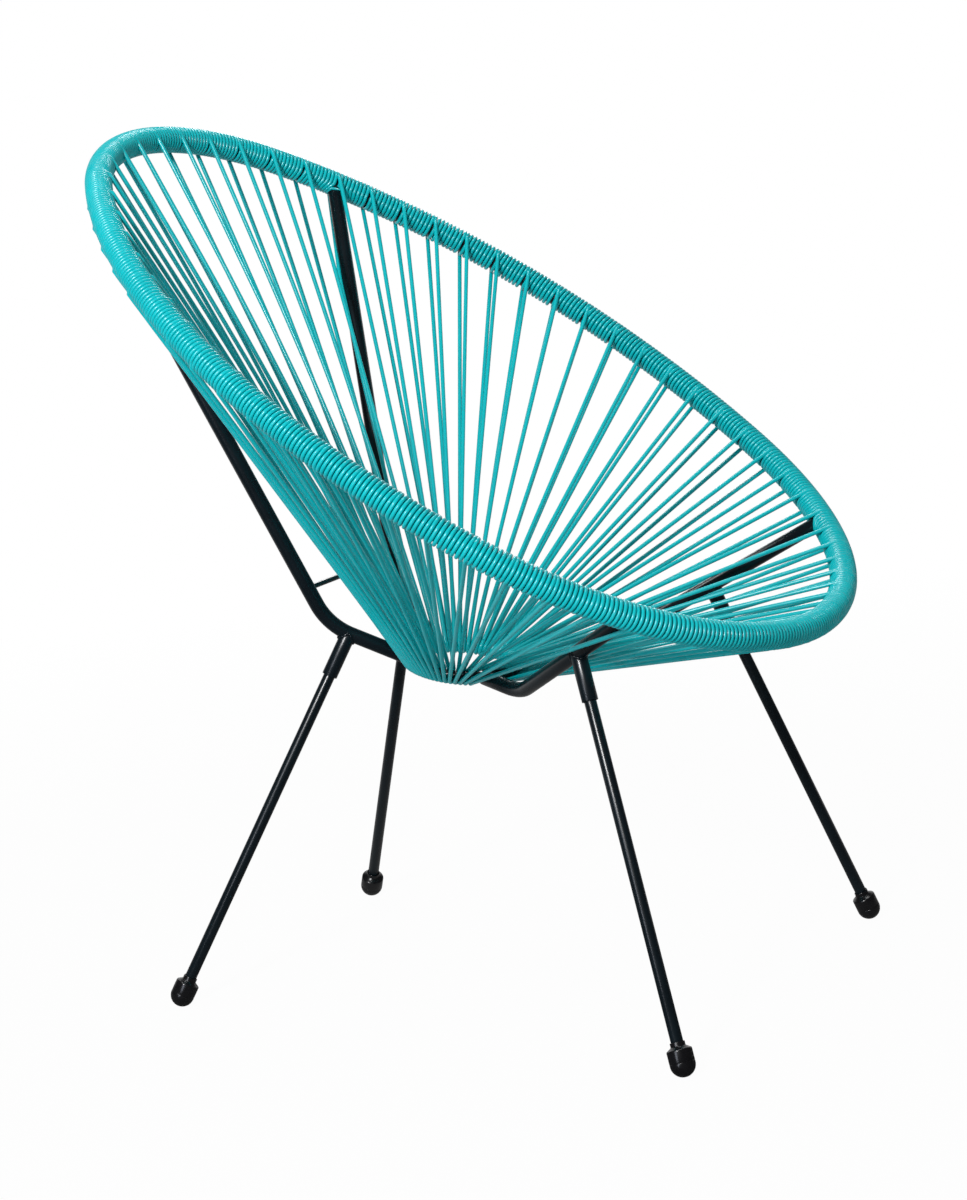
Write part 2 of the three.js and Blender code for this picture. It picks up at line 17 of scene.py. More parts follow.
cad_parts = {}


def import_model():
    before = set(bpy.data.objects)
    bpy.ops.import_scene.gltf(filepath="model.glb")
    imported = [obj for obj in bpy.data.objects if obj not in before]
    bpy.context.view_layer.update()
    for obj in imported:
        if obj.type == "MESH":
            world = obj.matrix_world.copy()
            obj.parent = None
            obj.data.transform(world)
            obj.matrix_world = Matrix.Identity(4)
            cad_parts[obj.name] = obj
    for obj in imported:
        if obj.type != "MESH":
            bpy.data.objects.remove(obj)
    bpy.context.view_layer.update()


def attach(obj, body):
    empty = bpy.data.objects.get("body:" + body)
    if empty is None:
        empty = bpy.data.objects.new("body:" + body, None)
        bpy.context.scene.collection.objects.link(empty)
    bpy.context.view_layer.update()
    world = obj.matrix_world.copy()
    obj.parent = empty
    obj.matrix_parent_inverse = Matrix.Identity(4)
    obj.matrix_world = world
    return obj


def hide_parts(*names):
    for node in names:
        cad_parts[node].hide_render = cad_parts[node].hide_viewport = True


log = logging.getLogger("chair")

MM = 0.001
"""One millimetre in metres; every size below is in millimetres."""

MERGE_REACH = 0.01
"""Corners closer than this are merged."""

UPRIGHT_Z = 0.9
"""A direction whose Z is at least this counts as upright."""

FULL_TURN = 2 * math.pi

Array = np.ndarray
Point = tuple[float, float, float]


class Layer(Enum):
    """The two layers of strands between the hoop and the hub ring."""

    INNER = 1
    OUTER = -1


class Side(Enum):
    """The chair's left and right, as the sign of X."""

    LEFT = -1
    RIGHT = 1


class Place(Enum):
    """Which pair of tubes, legs and feet a piece belongs to."""

    FRONT = "front"
    REAR = "rear"


def unit(vector: Array) -> Array:
    """Scales vectors, one or a row each, to length one."""
    return vector / np.linalg.norm(vector, axis=-1, keepdims=True)


def tilted_axes(degrees: float) -> tuple[Array, Array]:
    """The rearward and upward directions of a plane that rises to the back.

    Args:
        degrees: How steeply it rises.

    Returns:
        The two directions.
    """
    tilt = math.radians(degrees)
    rise = np.array([0, math.cos(tilt), math.sin(tilt)])
    return rise, np.array([0, -math.sin(tilt), math.cos(tilt)])


def on_circles(
    centres: Array, across: Array, above: Array, angles: Array, radius: Array | float
) -> Array:
    """Points on circles, one circle for them all or one for each.

    Args:
        centres: The circles' middles.
        across: The directions in which the angles start.
        above: The directions a quarter turn on.
        angles: The points' angles.
        radius: The circles' radius.

    Returns:
        The points.
    """
    turned = np.cos(angles)[..., None] * across + np.sin(angles)[..., None] * above
    return centres + np.asarray(radius)[..., None] * turned


def linear_colour(code: str) -> tuple[float, float, float, float]:
    """Turns an sRGB hex colour into the linear values that a shader reads.

    Args:
        code: Six hex digits, red first.

    Returns:
        Linear red, green, blue and an alpha of one.
    """
    parts = [int(code[i : i + 2], 16) / 255 for i in (0, 2, 4)]
    linear = [c / 12.92 if c <= 0.04045 else ((c + 0.055) / 1.055) ** 2.4 for c in parts]
    return (*linear, 1.0)


def add_node(
    owner: bpy.types.ID,
    kind: str,
    settings: dict[str, object] | None = None,
    links: dict[str | int, bpy.types.NodeSocket] | None = None,
) -> bpy.types.Node:
    """Adds a shader node with its settings and links.

    Args:
        owner: The material or world whose tree gets the node.
        kind: The node's Blender type.
        settings: Socket or property names and their values.
        links: Input names or numbers and the outputs that feed them.

    Returns:
        The new node.
    """
    node = owner.node_tree.nodes.new(kind)
    for name, value in (settings or {}).items():
        if name in node.inputs:
            node.inputs[name].default_value = value
        else:
            setattr(node, name, value)
    for name, source in (links or {}).items():
        owner.node_tree.links.new(source, node.inputs[name])
    return node


@dataclass(frozen=True)
class Finish:
    """What the finishes share: two shades and two roughnesses that soft clouds mix.

    A cloud is given as its size in millimetres and how much detail it has.
    """

    name: str
    colour: str
    other_colour: str
    roughness: tuple[float, float]
    ior: float
    tint_cloud: tuple[float, float]
    gloss_cloud: tuple[float, float]
    relief_depth: float = 0.0
    relief_strength: float = 0.0

    def mottled(self) -> tuple[bpy.types.Material, bpy.types.Node]:
        """Makes the material with its shades and roughness.

        Returns:
            The material and its texture coordinates.
        """
        material = bpy.data.materials.new(self.name)
        material.use_nodes = True
        place = add_node(material, "ShaderNodeTexCoord")
        tint_cloud, gloss_cloud = [
            add_node(
                material,
                "ShaderNodeTexNoise",
                {"Scale": 1 / (size * MM), "Detail": detail},
                {"Vector": place.outputs["Object"]},
            )
            for size, detail in (self.tint_cloud, self.gloss_cloud)
        ]
        shades = {"A": linear_colour(self.colour), "B": linear_colour(self.other_colour)}
        tint = add_node(
            material,
            "ShaderNodeMix",
            {"data_type": "RGBA", **shades},
            {"Factor": tint_cloud.outputs["Fac"]},
        )
        rough = add_node(
            material,
            "ShaderNodeMapRange",
            {"To Min": self.roughness[0], "To Max": self.roughness[1]},
            {"Value": gloss_cloud.outputs["Fac"]},
        )
        shader = material.node_tree.nodes["Principled BSDF"]
        shader.inputs["IOR"].default_value = self.ior
        link = material.node_tree.links.new
        link(tint.outputs["Result"], shader.inputs["Base Color"])
        link(rough.outputs["Result"], shader.inputs["Roughness"])
        return material, place

    def emboss(self, owner: bpy.types.Material, where: bpy.types.NodeSocket, scale: float) -> None:
        """Gives the material its fine relief.

        Args:
            owner: The material.
            where: The coordinates that the relief follows.
            scale: How often it repeats in one unit of them.
        """
        relief = add_node(
            owner, "ShaderNodeTexNoise", {"Scale": scale, "Detail": 1.0}, {"Vector": where}
        )
        bump = add_node(
            owner,
            "ShaderNodeBump",
            {"Distance": self.relief_depth * MM, "Strength": self.relief_strength},
            {"Height": relief.outputs["Fac"]},
        )
        shader = owner.node_tree.nodes["Principled BSDF"]
        owner.node_tree.links.new(bump.outputs["Normal"], shader.inputs["Normal"])


@dataclass(frozen=True)
class CordPvc(Finish):
    """Plasticised PVC cord, extruded: a small sharp highlight and faint lines along it."""

    name: str = "extruded_pvc_cord"
    colour: str = "00A5AB"
    other_colour: str = "00B4BA"
    roughness: tuple[float, float] = (0.25, 0.3)
    ior: float = 1.52
    tint_cloud: tuple[float, float] = (45.0, 2.0)
    gloss_cloud: tuple[float, float] = (80.0, 1.0)
    relief_depth: float = 0.004
    relief_strength: float = 0.6
    line_spacing: float = 1.2
    line_length: float = 45.0
    girth: float = 14.0

    def build(self) -> bpy.types.Material:
        """Makes the material from the cord's own UV map, whose V runs along the cord.

        Returns:
            The finished material.
        """
        material, place = self.mottled()
        # The lines that a die leaves are finer than these, which are as fine as can show.
        stretch = (self.girth / self.line_spacing, 1 / (self.line_length * MM), 1.0)
        along = add_node(
            material, "ShaderNodeMapping", {"Scale": stretch}, {"Vector": place.outputs["UV"]}
        )
        self.emboss(material, along.outputs["Vector"], 1.0)
        return material


@dataclass(frozen=True)
class PowderCoat(Finish):
    """Satin black powder coat on steel: a soft sheen over a very fine orange peel."""

    name: str = "satin_powder_coat"
    colour: str = "050C11"
    other_colour: str = "0B171D"
    roughness: tuple[float, float] = (0.24, 0.32)
    ior: float = 1.48
    tint_cloud: tuple[float, float] = (30.0, 3.0)
    gloss_cloud: tuple[float, float] = (30.0, 3.0)
    relief_depth: float = 0.008
    relief_strength: float = 0.7
    peel_size: float = 1.4

    def build(self) -> bpy.types.Material:
        """Makes the material from object coordinates.

        Returns:
            The finished material.
        """
        material, place = self.mottled()
        self.emboss(material, place.outputs["Object"], 1 / (self.peel_size * MM))
        return material


@dataclass(frozen=True)
class MouldedFoot(Finish):
    """Injection-moulded polyethylene foot cap: deep black, glossy, with a few soft scuffs."""

    name: str = "moulded_polyethylene"
    colour: str = "08080A"
    other_colour: str = "121214"
    roughness: tuple[float, float] = (0.16, 0.3)
    ior: float = 1.51
    tint_cloud: tuple[float, float] = (5.0, 5.0)
    gloss_cloud: tuple[float, float] = (5.0, 5.0)

    def build(self) -> bpy.types.Material:
        """Makes the material from object coordinates."""
        return self.mottled()[0]


@dataclass
class HoopLine:
    """The hoop's centre line: tangent arcs in a tilted plane, with the sides bowed down."""

    half_width: float = 346.8
    front_reach: float = 420.4
    back_reach: float = 457.3
    front_side_radius: float = 615.2
    back_side_radius: float = 524.2
    centre_height: float = 619.8
    side_bow: float = 6.8
    tilt_degrees: float = 34.88
    tube_radius: float = 10.0
    sample_step: float = 1.0
    rise: Array = field(init=False)
    normal: Array = field(init=False)
    centre: Array = field(init=False)
    length: float = field(init=False)
    table_arc: Array = field(init=False)
    table: Array = field(init=False)

    def __post_init__(self) -> None:
        """Works out the plane, the arcs and a fine table of the line."""
        self.rise, self.normal = tilted_axes(self.tilt_degrees)
        offset = (self.front_reach - self.back_reach) / 2 * self.rise[1]
        self.centre = np.array([0, offset, self.centre_height])
        self.length = 2 * sum(radius * (stop - start) for _, _, radius, start, stop in self.arcs())
        self.table_arc = np.arange(0, self.length, self.sample_step)
        self.table = np.array([self.exact_point(arc) for arc in self.table_arc])

    def nose_radius(self, reach: float, side_radius: float) -> float:
        """The end arc's radius that meets the side arc smoothly."""
        spare = 2 * side_radius * self.half_width - self.half_width**2 - reach**2
        return spare / (2 * (side_radius - reach))

    def arcs(self) -> list[tuple[float, float, float, float, float]]:
        """The arcs from the front centre to the back centre along one side.

        Returns:
            Each arc's centre across and along the plane, radius, first and last angle.
        """
        front_nose = self.nose_radius(self.front_reach, self.front_side_radius)
        back_nose = self.nose_radius(self.back_reach, self.back_side_radius)
        front_side = self.half_width - self.front_side_radius
        back_side = self.half_width - self.back_side_radius
        front_sweep = math.atan2(self.front_reach - front_nose, -front_side)
        back_sweep = math.atan2(self.back_reach - back_nose, -back_side)
        quarter = math.pi / 2
        return [
            (0, front_nose - self.front_reach, front_nose, -quarter, -front_sweep),
            (front_side, 0, self.front_side_radius, -front_sweep, 0),
            (back_side, 0, self.back_side_radius, 0, back_sweep),
            (0, self.back_reach - back_nose, back_nose, back_sweep, quarter),
        ]

    def bow(self, along_plane: Array | float) -> Array | float:
        """How far the line lies below the plane, which is most at the sides."""
        mean_reach = (self.front_reach + self.back_reach) / 2
        return self.side_bow * (1 - (along_plane / mean_reach) ** 2)

    def exact_point(self, arc_length: float) -> Array:
        """One point of the line, worked out from the arcs.

        Args:
            arc_length: The distance from the front centre towards the left.

        Returns:
            The point.
        """
        mirrored = arc_length > self.length / 2
        rest = self.length - arc_length if mirrored else arc_length
        angle = across = along = radius = 0.0
        for across, along, radius, start, stop in self.arcs():
            angle = start + rest / radius
            if angle <= stop:
                break
            rest -= radius * (stop - start)
        x = across + radius * math.cos(angle)
        u = along + radius * math.sin(angle)
        sideways = np.array([x if mirrored else -x, 0, 0])
        return self.centre + sideways + self.rise * u - self.normal * self.bow(u)

    def points(self, arc_lengths: Array) -> Array:
        """The points at arc lengths, from the table.

        Args:
            arc_lengths: Distances from the front centre towards the left.

        Returns:
            A point for each.
        """
        rounds = np.mod(arc_lengths, self.length)
        columns = [
            np.interp(rounds, self.table_arc, self.table[:, i], period=self.length)
            for i in range(3)
        ]
        return np.stack(columns, axis=-1)

    def frames(self, arc_lengths: Array) -> tuple[Array, Array, Array, Array]:
        """The local axes at arc lengths.

        Args:
            arc_lengths: Distances from the front centre towards the left.

        Returns:
            Centres, directions along the hoop, upward and outward directions.
        """
        reach = 2 * self.sample_step
        centres = self.points(arc_lengths)
        along = unit(self.points(arc_lengths + reach) - self.points(arc_lengths - reach))
        lean = np.sum(along * self.normal, axis=-1, keepdims=True)
        above = unit(self.normal - lean * along)
        return centres, along, above, np.cross(above, along)


@dataclass
class HubLine:
    """The hub ring's centre line under the seat."""

    ring_radius: float = 55.9
    rod_radius: float = 5.0
    centre_y: float = 35.0
    centre_height: float = 330.7
    tilt_degrees: float = 10.57
    rise: Array = field(init=False)
    normal: Array = field(init=False)
    centre: Array = field(init=False)

    def __post_init__(self) -> None:
        """Works out the ring's plane and middle."""
        self.rise, self.normal = tilted_axes(self.tilt_degrees)
        self.centre = np.array([0, self.centre_y, self.centre_height])

    def frames(self, angles: Array) -> tuple[Array, Array]:
        """Places on the ring.

        Args:
            angles: Angles round it, from the front towards the left.

        Returns:
            Centres and outward directions.
        """
        left = np.array([-1.0, 0, 0])
        outwards = on_circles(np.zeros(3), -self.rise, left, angles, 1.0)
        return self.centre + self.ring_radius * outwards, outwards


@dataclass(frozen=True)
class Plan:
    """Where one pair of bent tubes runs, and how its legs hang from it and stand.

    The arc and the degrees run from the front towards the left, and the share is the leg's place
    on the tube, from the bend to the end that carries it.
    """

    hoop_arc: float
    hub_degrees: float
    bend: Point
    bend_radius: float
    leg_share: float
    foot: tuple[float, float]


PLANS = {
    Place.FRONT: Plan(266.7, 41.0, (57.2, -59.9, 313.4), 60.0, 0.553, (244.4, -298.7)),
    Place.REAR: Plan(988.8, 145.0, (73.3, 149.0, 381.1), 70.0, 0.261, (196.2, 292.1)),
}
"""The two pairs of tubes and legs, with the same sizes as in the frame's source."""


@dataclass
class TubeLine:
    """One bent tube's corner points, from the hoop over its bend to the hub ring."""

    hoop_line: HoopLine
    hub_line: HubLine
    place: Place
    side: Side
    radius: float = 7.75
    end_setback: float = 2.6
    arc: float = field(init=False)
    hoop: Array = field(init=False)
    bend: Array = field(init=False)
    hub: Array = field(init=False)

    def __post_init__(self) -> None:
        """Works out the corners, with the lower end set back from the ring's middle."""
        plan = PLANS[self.place]
        full = self.hoop_line.length
        self.arc = plan.hoop_arc if self.side is Side.LEFT else full - plan.hoop_arc
        self.hoop = self.hoop_line.points(np.array(plan.hoop_arc))
        self.bend = np.array(plan.bend)
        self.hub = self.hub_line.frames(np.array(math.radians(plan.hub_degrees)))[0]
        for point in (self.hoop, self.bend, self.hub):
            point[0] = self.side.value * abs(point[0])
        self.hub = self.hub + unit(self.bend - self.hub) * self.end_setback

    @property
    def where(self) -> str:
        """The tube's place in node names."""
        return f"{self.place.value}_{self.side.name.lower()}"

    @property
    def name(self) -> str:
        """The tube's node."""
        return f"{self.place.value}_tube_{self.side.name.lower()}"


def deselect_all() -> None:
    """Leaves nothing selected and edit mode closed."""
    if bpy.context.mode != "OBJECT":
        bpy.ops.object.mode_set(mode="OBJECT")
    bpy.ops.object.select_all(action="DESELECT")


def start_disc(
    centre: Array, direction: Array, radius: float, sides: int, fill: str = "NGON"
) -> None:
    """Starts a piece as a circle and opens it in edit mode.

    Args:
        centre: The circle's middle.
        direction: The way the circle faces.
        radius: The circle's radius.
        sides: How many corners it has.
        fill: How Blender fills it.
    """
    deselect_all()
    bpy.ops.mesh.primitive_circle_add(
        vertices=sides,
        radius=radius * MM,
        fill_type=fill,
        location=Vector(centre) * MM,
        rotation=Vector(direction).to_track_quat("Z", "Y").to_euler(),
    )
    bpy.ops.object.transform_apply(location=True, rotation=True, scale=True)
    bpy.ops.object.mode_set(mode="EDIT")
    bpy.ops.mesh.select_all(action="SELECT")


def extrude(move: Array) -> None:
    """Pulls the selected face straight along a vector."""
    bpy.ops.mesh.extrude_region_move(TRANSFORM_OT_translate={"value": tuple(Vector(move) * MM)})


def spin(angle: float, centre: Array, axle: Array, steps: int) -> None:
    """Sweeps the selected circle round an axle, by the right-hand rule."""
    middle = tuple(Vector(centre) * MM)
    bpy.ops.mesh.spin(steps=steps, angle=-angle, center=middle, axis=tuple(Vector(axle)))


def extrude_bent(start: Array, corner: Array, end: Array, radius: float, steps: int) -> None:
    """Pulls the selected face along a pipe's line with one bend.

    Args:
        start: Where the face lies now.
        corner: Where the two straight lines would meet.
        end: Where the pipe ends.
        radius: The bend's radius on the centre line.
        steps: How many rings the bend has.
    """
    first = unit(corner - start)
    second = unit(end - corner)
    turn = math.acos(float(np.clip(first @ second, -1, 1)))
    reach = radius * math.tan(turn / 2)
    bend_start = corner - first * reach
    axle = unit(np.cross(first, second))
    extrude(bend_start - start)
    spin(turn, bend_start + np.cross(axle, first) * radius, axle, steps)
    extrude(end - (corner + second * reach))


def close_piece(name: str, smooth_degrees: float = 35.0, bevel: float = 0.0) -> bpy.types.Object:
    """Ends edit mode with clean outward normals and smooth shading.

    Args:
        name: The piece's name.
        smooth_degrees: Edges flatter than this are shaded smooth.
        bevel: Width of the rounding on the sharp edges.

    Returns:
        The finished piece.
    """
    bpy.ops.mesh.select_all(action="SELECT")
    bpy.ops.mesh.remove_doubles(threshold=MERGE_REACH * MM)
    bpy.ops.mesh.normals_make_consistent(inside=False)
    bpy.ops.object.mode_set(mode="OBJECT")
    piece = bpy.context.object
    piece.name = name
    piece.data.name = name
    if bevel:
        rounding = piece.modifiers.new("edge rounding", "BEVEL")
        rounding.width = bevel * MM
        rounding.segments = 2
        rounding.limit_method = "ANGLE"
        rounding.angle_limit = math.radians(smooth_degrees)
        bpy.ops.object.modifier_apply(modifier=rounding.name)
    bpy.ops.object.shade_smooth_by_angle(angle=math.radians(smooth_degrees))
    return piece


def dress(piece: bpy.types.Object, material: bpy.types.Material, slot: str, *nodes: str) -> None:
    """Gives a piece its finish, its body and the frame nodes that it stands for.

    Args:
        piece: The finished piece.
        material: Its material.
        slot: The material slot; not used.
        nodes: The frame nodes that it replaces.
    """
    piece.data.materials.clear()
    piece.data.materials.append(material)
    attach(piece, "root")
    if nodes:
        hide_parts(*nodes)
    log.info("%s: %d faces", piece.name, len(piece.data.polygons))


def ring_axes(line: Array, closed: bool) -> tuple[Array, Array]:
    """The two axes across a line at each of its points, carried along without a twist.

    Args:
        line: The points.
        closed: Whether the line runs back into its start.

    Returns:
        Both axes, a row for each point.
    """
    if closed:
        tangents = unit(np.roll(line, -1, axis=0) - np.roll(line, 1, axis=0))
    else:
        steps = unit(np.diff(line, axis=0))
        tangents = unit(np.vstack([steps[:1], steps[:-1] + steps[1:], steps[-1:]]))
    normals = np.empty_like(line)
    upright = abs(tangents[0][2]) >= UPRIGHT_Z
    helper = np.array([1.0, 0, 0]) if upright else np.array([0.0, 0, 1])
    carried = unit(np.cross(tangents[0], helper))
    for i, tangent in enumerate(tangents):
        carried = carried - (carried @ tangent) * tangent
        carried = carried / math.sqrt(carried @ carried)
        normals[i] = carried
    others = np.cross(tangents, normals)
    if closed:
        miss = math.atan2(normals[0] @ others[-1], normals[0] @ normals[-1])
        twist = (np.arange(len(line)) / len(line) * miss)[:, None]
        normals, others = (
            np.cos(twist) * normals + np.sin(twist) * others,
            np.cos(twist) * others - np.sin(twist) * normals,
        )
    return normals, others


def swept_mesh(
    name: str, line: Array, radii: Array | float, sides: int, closed: bool = False
) -> bpy.types.Object:
    """Makes a round skin along a line, with a UV map whose V runs along it in metres.

    Args:
        name: The piece's name.
        line: The points that it follows.
        radii: One radius, or one for each point.
        sides: How many faces go round it.
        closed: Whether the line runs back into its start.

    Returns:
        The new object, closed at both ends unless it runs round.
    """
    count = len(line)
    normals, others = ring_axes(line, closed)
    angles = np.arange(sides) / sides * FULL_TURN
    spread = np.broadcast_to(radii, (count,))[:, None]
    rings = on_circles(line[:, None], normals[:, None], others[:, None], angles[None], spread)
    bands = count if closed else count - 1
    rows = np.arange(bands)[:, None]
    here, ahead = rows * sides, (rows + 1) % count * sides
    j = np.arange(sides)[None, :]
    k = (j + 1) % sides
    quads = np.stack([here + j, here + k, ahead + k, ahead + j], axis=-1).reshape(-1, 4)
    faces = quads.tolist()
    if not closed:
        faces.append(list(range(sides))[::-1])
        faces.append([(count - 1) * sides + n for n in range(sides)])
    mesh = bpy.data.meshes.new(name)
    mesh.from_pydata((rings.reshape(-1, 3) * MM).tolist(), [], faces)
    travelled = np.concatenate([[0], np.cumsum(np.linalg.norm(np.diff(line, axis=0), axis=1))])
    travelled = np.append(travelled, travelled[-1]) * MM
    around = np.stack([j, j + 1, j + 1, j], axis=-1) / sides
    along = travelled[np.stack([rows, rows, rows + 1, rows + 1], axis=-1)]
    values = np.zeros((len(mesh.loops), 2))
    values[: quads.size] = np.stack(np.broadcast_arrays(around, along), axis=-1).reshape(-1, 2)
    mesh.uv_layers.new(name="along the cord").data.foreach_set("uv", values.ravel())
    smooth = [True] * len(quads) + [False] * (len(faces) - len(quads))
    mesh.polygons.foreach_set("use_smooth", smooth)
    mesh.update()
    piece = bpy.data.objects.new(name, mesh)
    bpy.context.scene.collection.objects.link(piece)
    return piece


@dataclass
class WeldBead:
    """A fillet weld's bead: a thin rod of metal with the ripple that each dab leaves."""

    radius: float = 1.5
    ripple: float = 0.35
    dab_length: float = 2.6
    steps: int = 72
    sides: int = 8

    def around_branch(
        self, name: str, root: Array, axis: Array, radius: float, main: Array, main_radius: float
    ) -> bpy.types.Object:
        """Lays a bead where a round branch meets the skin of a main tube.

        Args:
            name: The bead's name.
            root: The point on the main tube's centre line that the branch aims at.
            axis: The branch's direction away from it.
            radius: The branch's radius.
            main: The main tube's direction.
            main_radius: The main tube's radius.

        Returns:
            The bead as one closed ring.
        """
        axis, main = unit(axis), unit(main)
        side = unit(np.cross(axis, main))
        angles = np.arange(self.steps) / self.steps * FULL_TURN
        offsets = on_circles(np.zeros(3), side, np.cross(side, axis), angles, radius)
        sideways = offsets - (offsets @ main)[:, None] * main
        onwards = axis - (axis @ main) * main
        a = onwards @ onwards
        b = 2 * sideways @ onwards
        c = np.sum(sideways**2, axis=1) - main_radius**2
        depths = (-b + np.sqrt(np.clip(b * b - 4 * a * c, 0, None))) / (2 * a)
        line = root + offsets + depths[:, None] * axis
        girth = np.linalg.norm(np.roll(line, -1, axis=0) - line, axis=1).sum()
        radii = self.radius + self.ripple * np.sin(angles * round(girth / self.dab_length))
        return swept_mesh(name, line, radii, self.sides, closed=True)


@dataclass
class SteelFrame:
    """The welded frame: hoop, hub ring, four bent tubes and the bar between the rear ones."""

    hoop: HoopLine
    hub: HubLine
    tubes: list[TubeLine]
    tube_sides: int = 32
    bend_steps: int = 16
    hoop_sides: int = 24
    arc_steps: int = 48
    ring_steps: int = 96
    tube_rounding: float = 0.6
    bar_radius: float = 2.75
    bar_share: float = 0.095
    bead: WeldBead = field(default_factory=WeldBead)
    bar_bead: WeldBead = field(default_factory=lambda: WeldBead(1.1, 0.25, 2.0))

    def build_hoop(self) -> bpy.types.Object:
        """Spins a circle round the oval's four arcs, mirrors it and bows its sides.

        Returns:
            The hoop.
        """
        hoop = self.hoop
        start = hoop.centre - hoop.rise * hoop.front_reach
        left = np.array([-1.0, 0, 0])
        start_disc(start, left, hoop.tube_radius, self.hoop_sides, "NOTHING")
        for across, along, _, first, last in hoop.arcs():
            centre = hoop.centre + left * across + hoop.rise * along
            spin(last - first, centre, -hoop.normal, self.arc_steps)
        piece = close_piece("hoop")
        mirror = piece.modifiers.new("other half", "MIRROR")
        mirror.use_axis = (True, False, False)
        bpy.ops.object.modifier_apply(modifier=mirror.name)
        bpy.ops.object.mode_set(mode="EDIT")
        piece = close_piece("hoop")
        for vertex in piece.data.vertices:
            u = float((np.array(vertex.co) / MM - hoop.centre) @ hoop.rise)
            vertex.co -= Vector(hoop.normal * hoop.bow(u) * MM)
        return piece

    def build_ring(self) -> bpy.types.Object:
        """Spins a circle once round the hub's middle.

        Returns:
            The hub ring.
        """
        hub = self.hub
        start = hub.centre - hub.rise * hub.ring_radius
        left = np.array([-1.0, 0, 0])
        start_disc(start, left, hub.rod_radius, self.hoop_sides, "NOTHING")
        spin(FULL_TURN, hub.centre, -hub.normal, self.ring_steps)
        return close_piece("hub_rod_ring")

    def build_tube(self, line: TubeLine) -> bpy.types.Object:
        """Bends one tube from the hoop to the hub ring.

        Args:
            line: The tube's line.

        Returns:
            The bent tube.
        """
        start_disc(line.hoop, line.bend - line.hoop, line.radius, self.tube_sides)
        radius = PLANS[line.place].bend_radius
        extrude_bent(line.hoop, line.bend, line.hub, radius, self.bend_steps)
        return close_piece(f"bent_{line.name}", bevel=self.tube_rounding)

    def bar_end(self, line: TubeLine) -> Array:
        """Where the bar meets a rear tube."""
        return line.bend + (line.hoop - line.bend) * self.bar_share

    def build_bar(self) -> bpy.types.Object:
        """Lays the thin bar between the two rear tubes.

        Returns:
            The bar.
        """
        start, end = [self.bar_end(line) for line in self.tubes if line.place is Place.REAR]
        start_disc(start, end - start, self.bar_radius, self.hoop_sides)
        extrude(end - start)
        return close_piece("tie_bar")

    def build_beads(self, line: TubeLine) -> list[bpy.types.Object]:
        """Lays the beads of one tube: at the hoop, and at the bar where it has one.

        Args:
            line: The tube's line.

        Returns:
            One or two beads.
        """
        into = line.bend - line.hoop
        nearest = np.argmin(np.linalg.norm(self.hoop.table - line.hoop, axis=1))
        along = self.hoop.frames(self.hoop.table_arc[nearest : nearest + 1])[1][0]
        name, radius = f"hoop_weld_{line.name}", self.hoop.tube_radius
        beads = [self.bead.around_branch(name, line.hoop, into, line.radius, along, radius)]
        if line.place is Place.REAR:
            name = f"bar_weld_{line.side.name.lower()}"
            inward = np.array([-float(line.side.value), 0, 0])
            weld = self.bar_bead.around_branch(
                name, self.bar_end(line), inward, self.bar_radius, -into, line.radius
            )
            beads.append(weld)
        return beads

    def build(self, coat: bpy.types.Material) -> None:
        """Makes and dresses every piece of the welded frame.

        Args:
            coat: The powder coat.
        """
        dress(self.build_hoop(), coat, "frame", "frame_hoop")
        dress(self.build_ring(), coat, "frame", "hub_ring")
        for line in self.tubes:
            dress(self.build_tube(line), coat, "frame", line.name)
        dress(self.build_bar(), coat, "frame", "rear_cross_bar")
        for line in self.tubes:
            for bead in self.build_beads(line):
                dress(bead, coat, "frame")


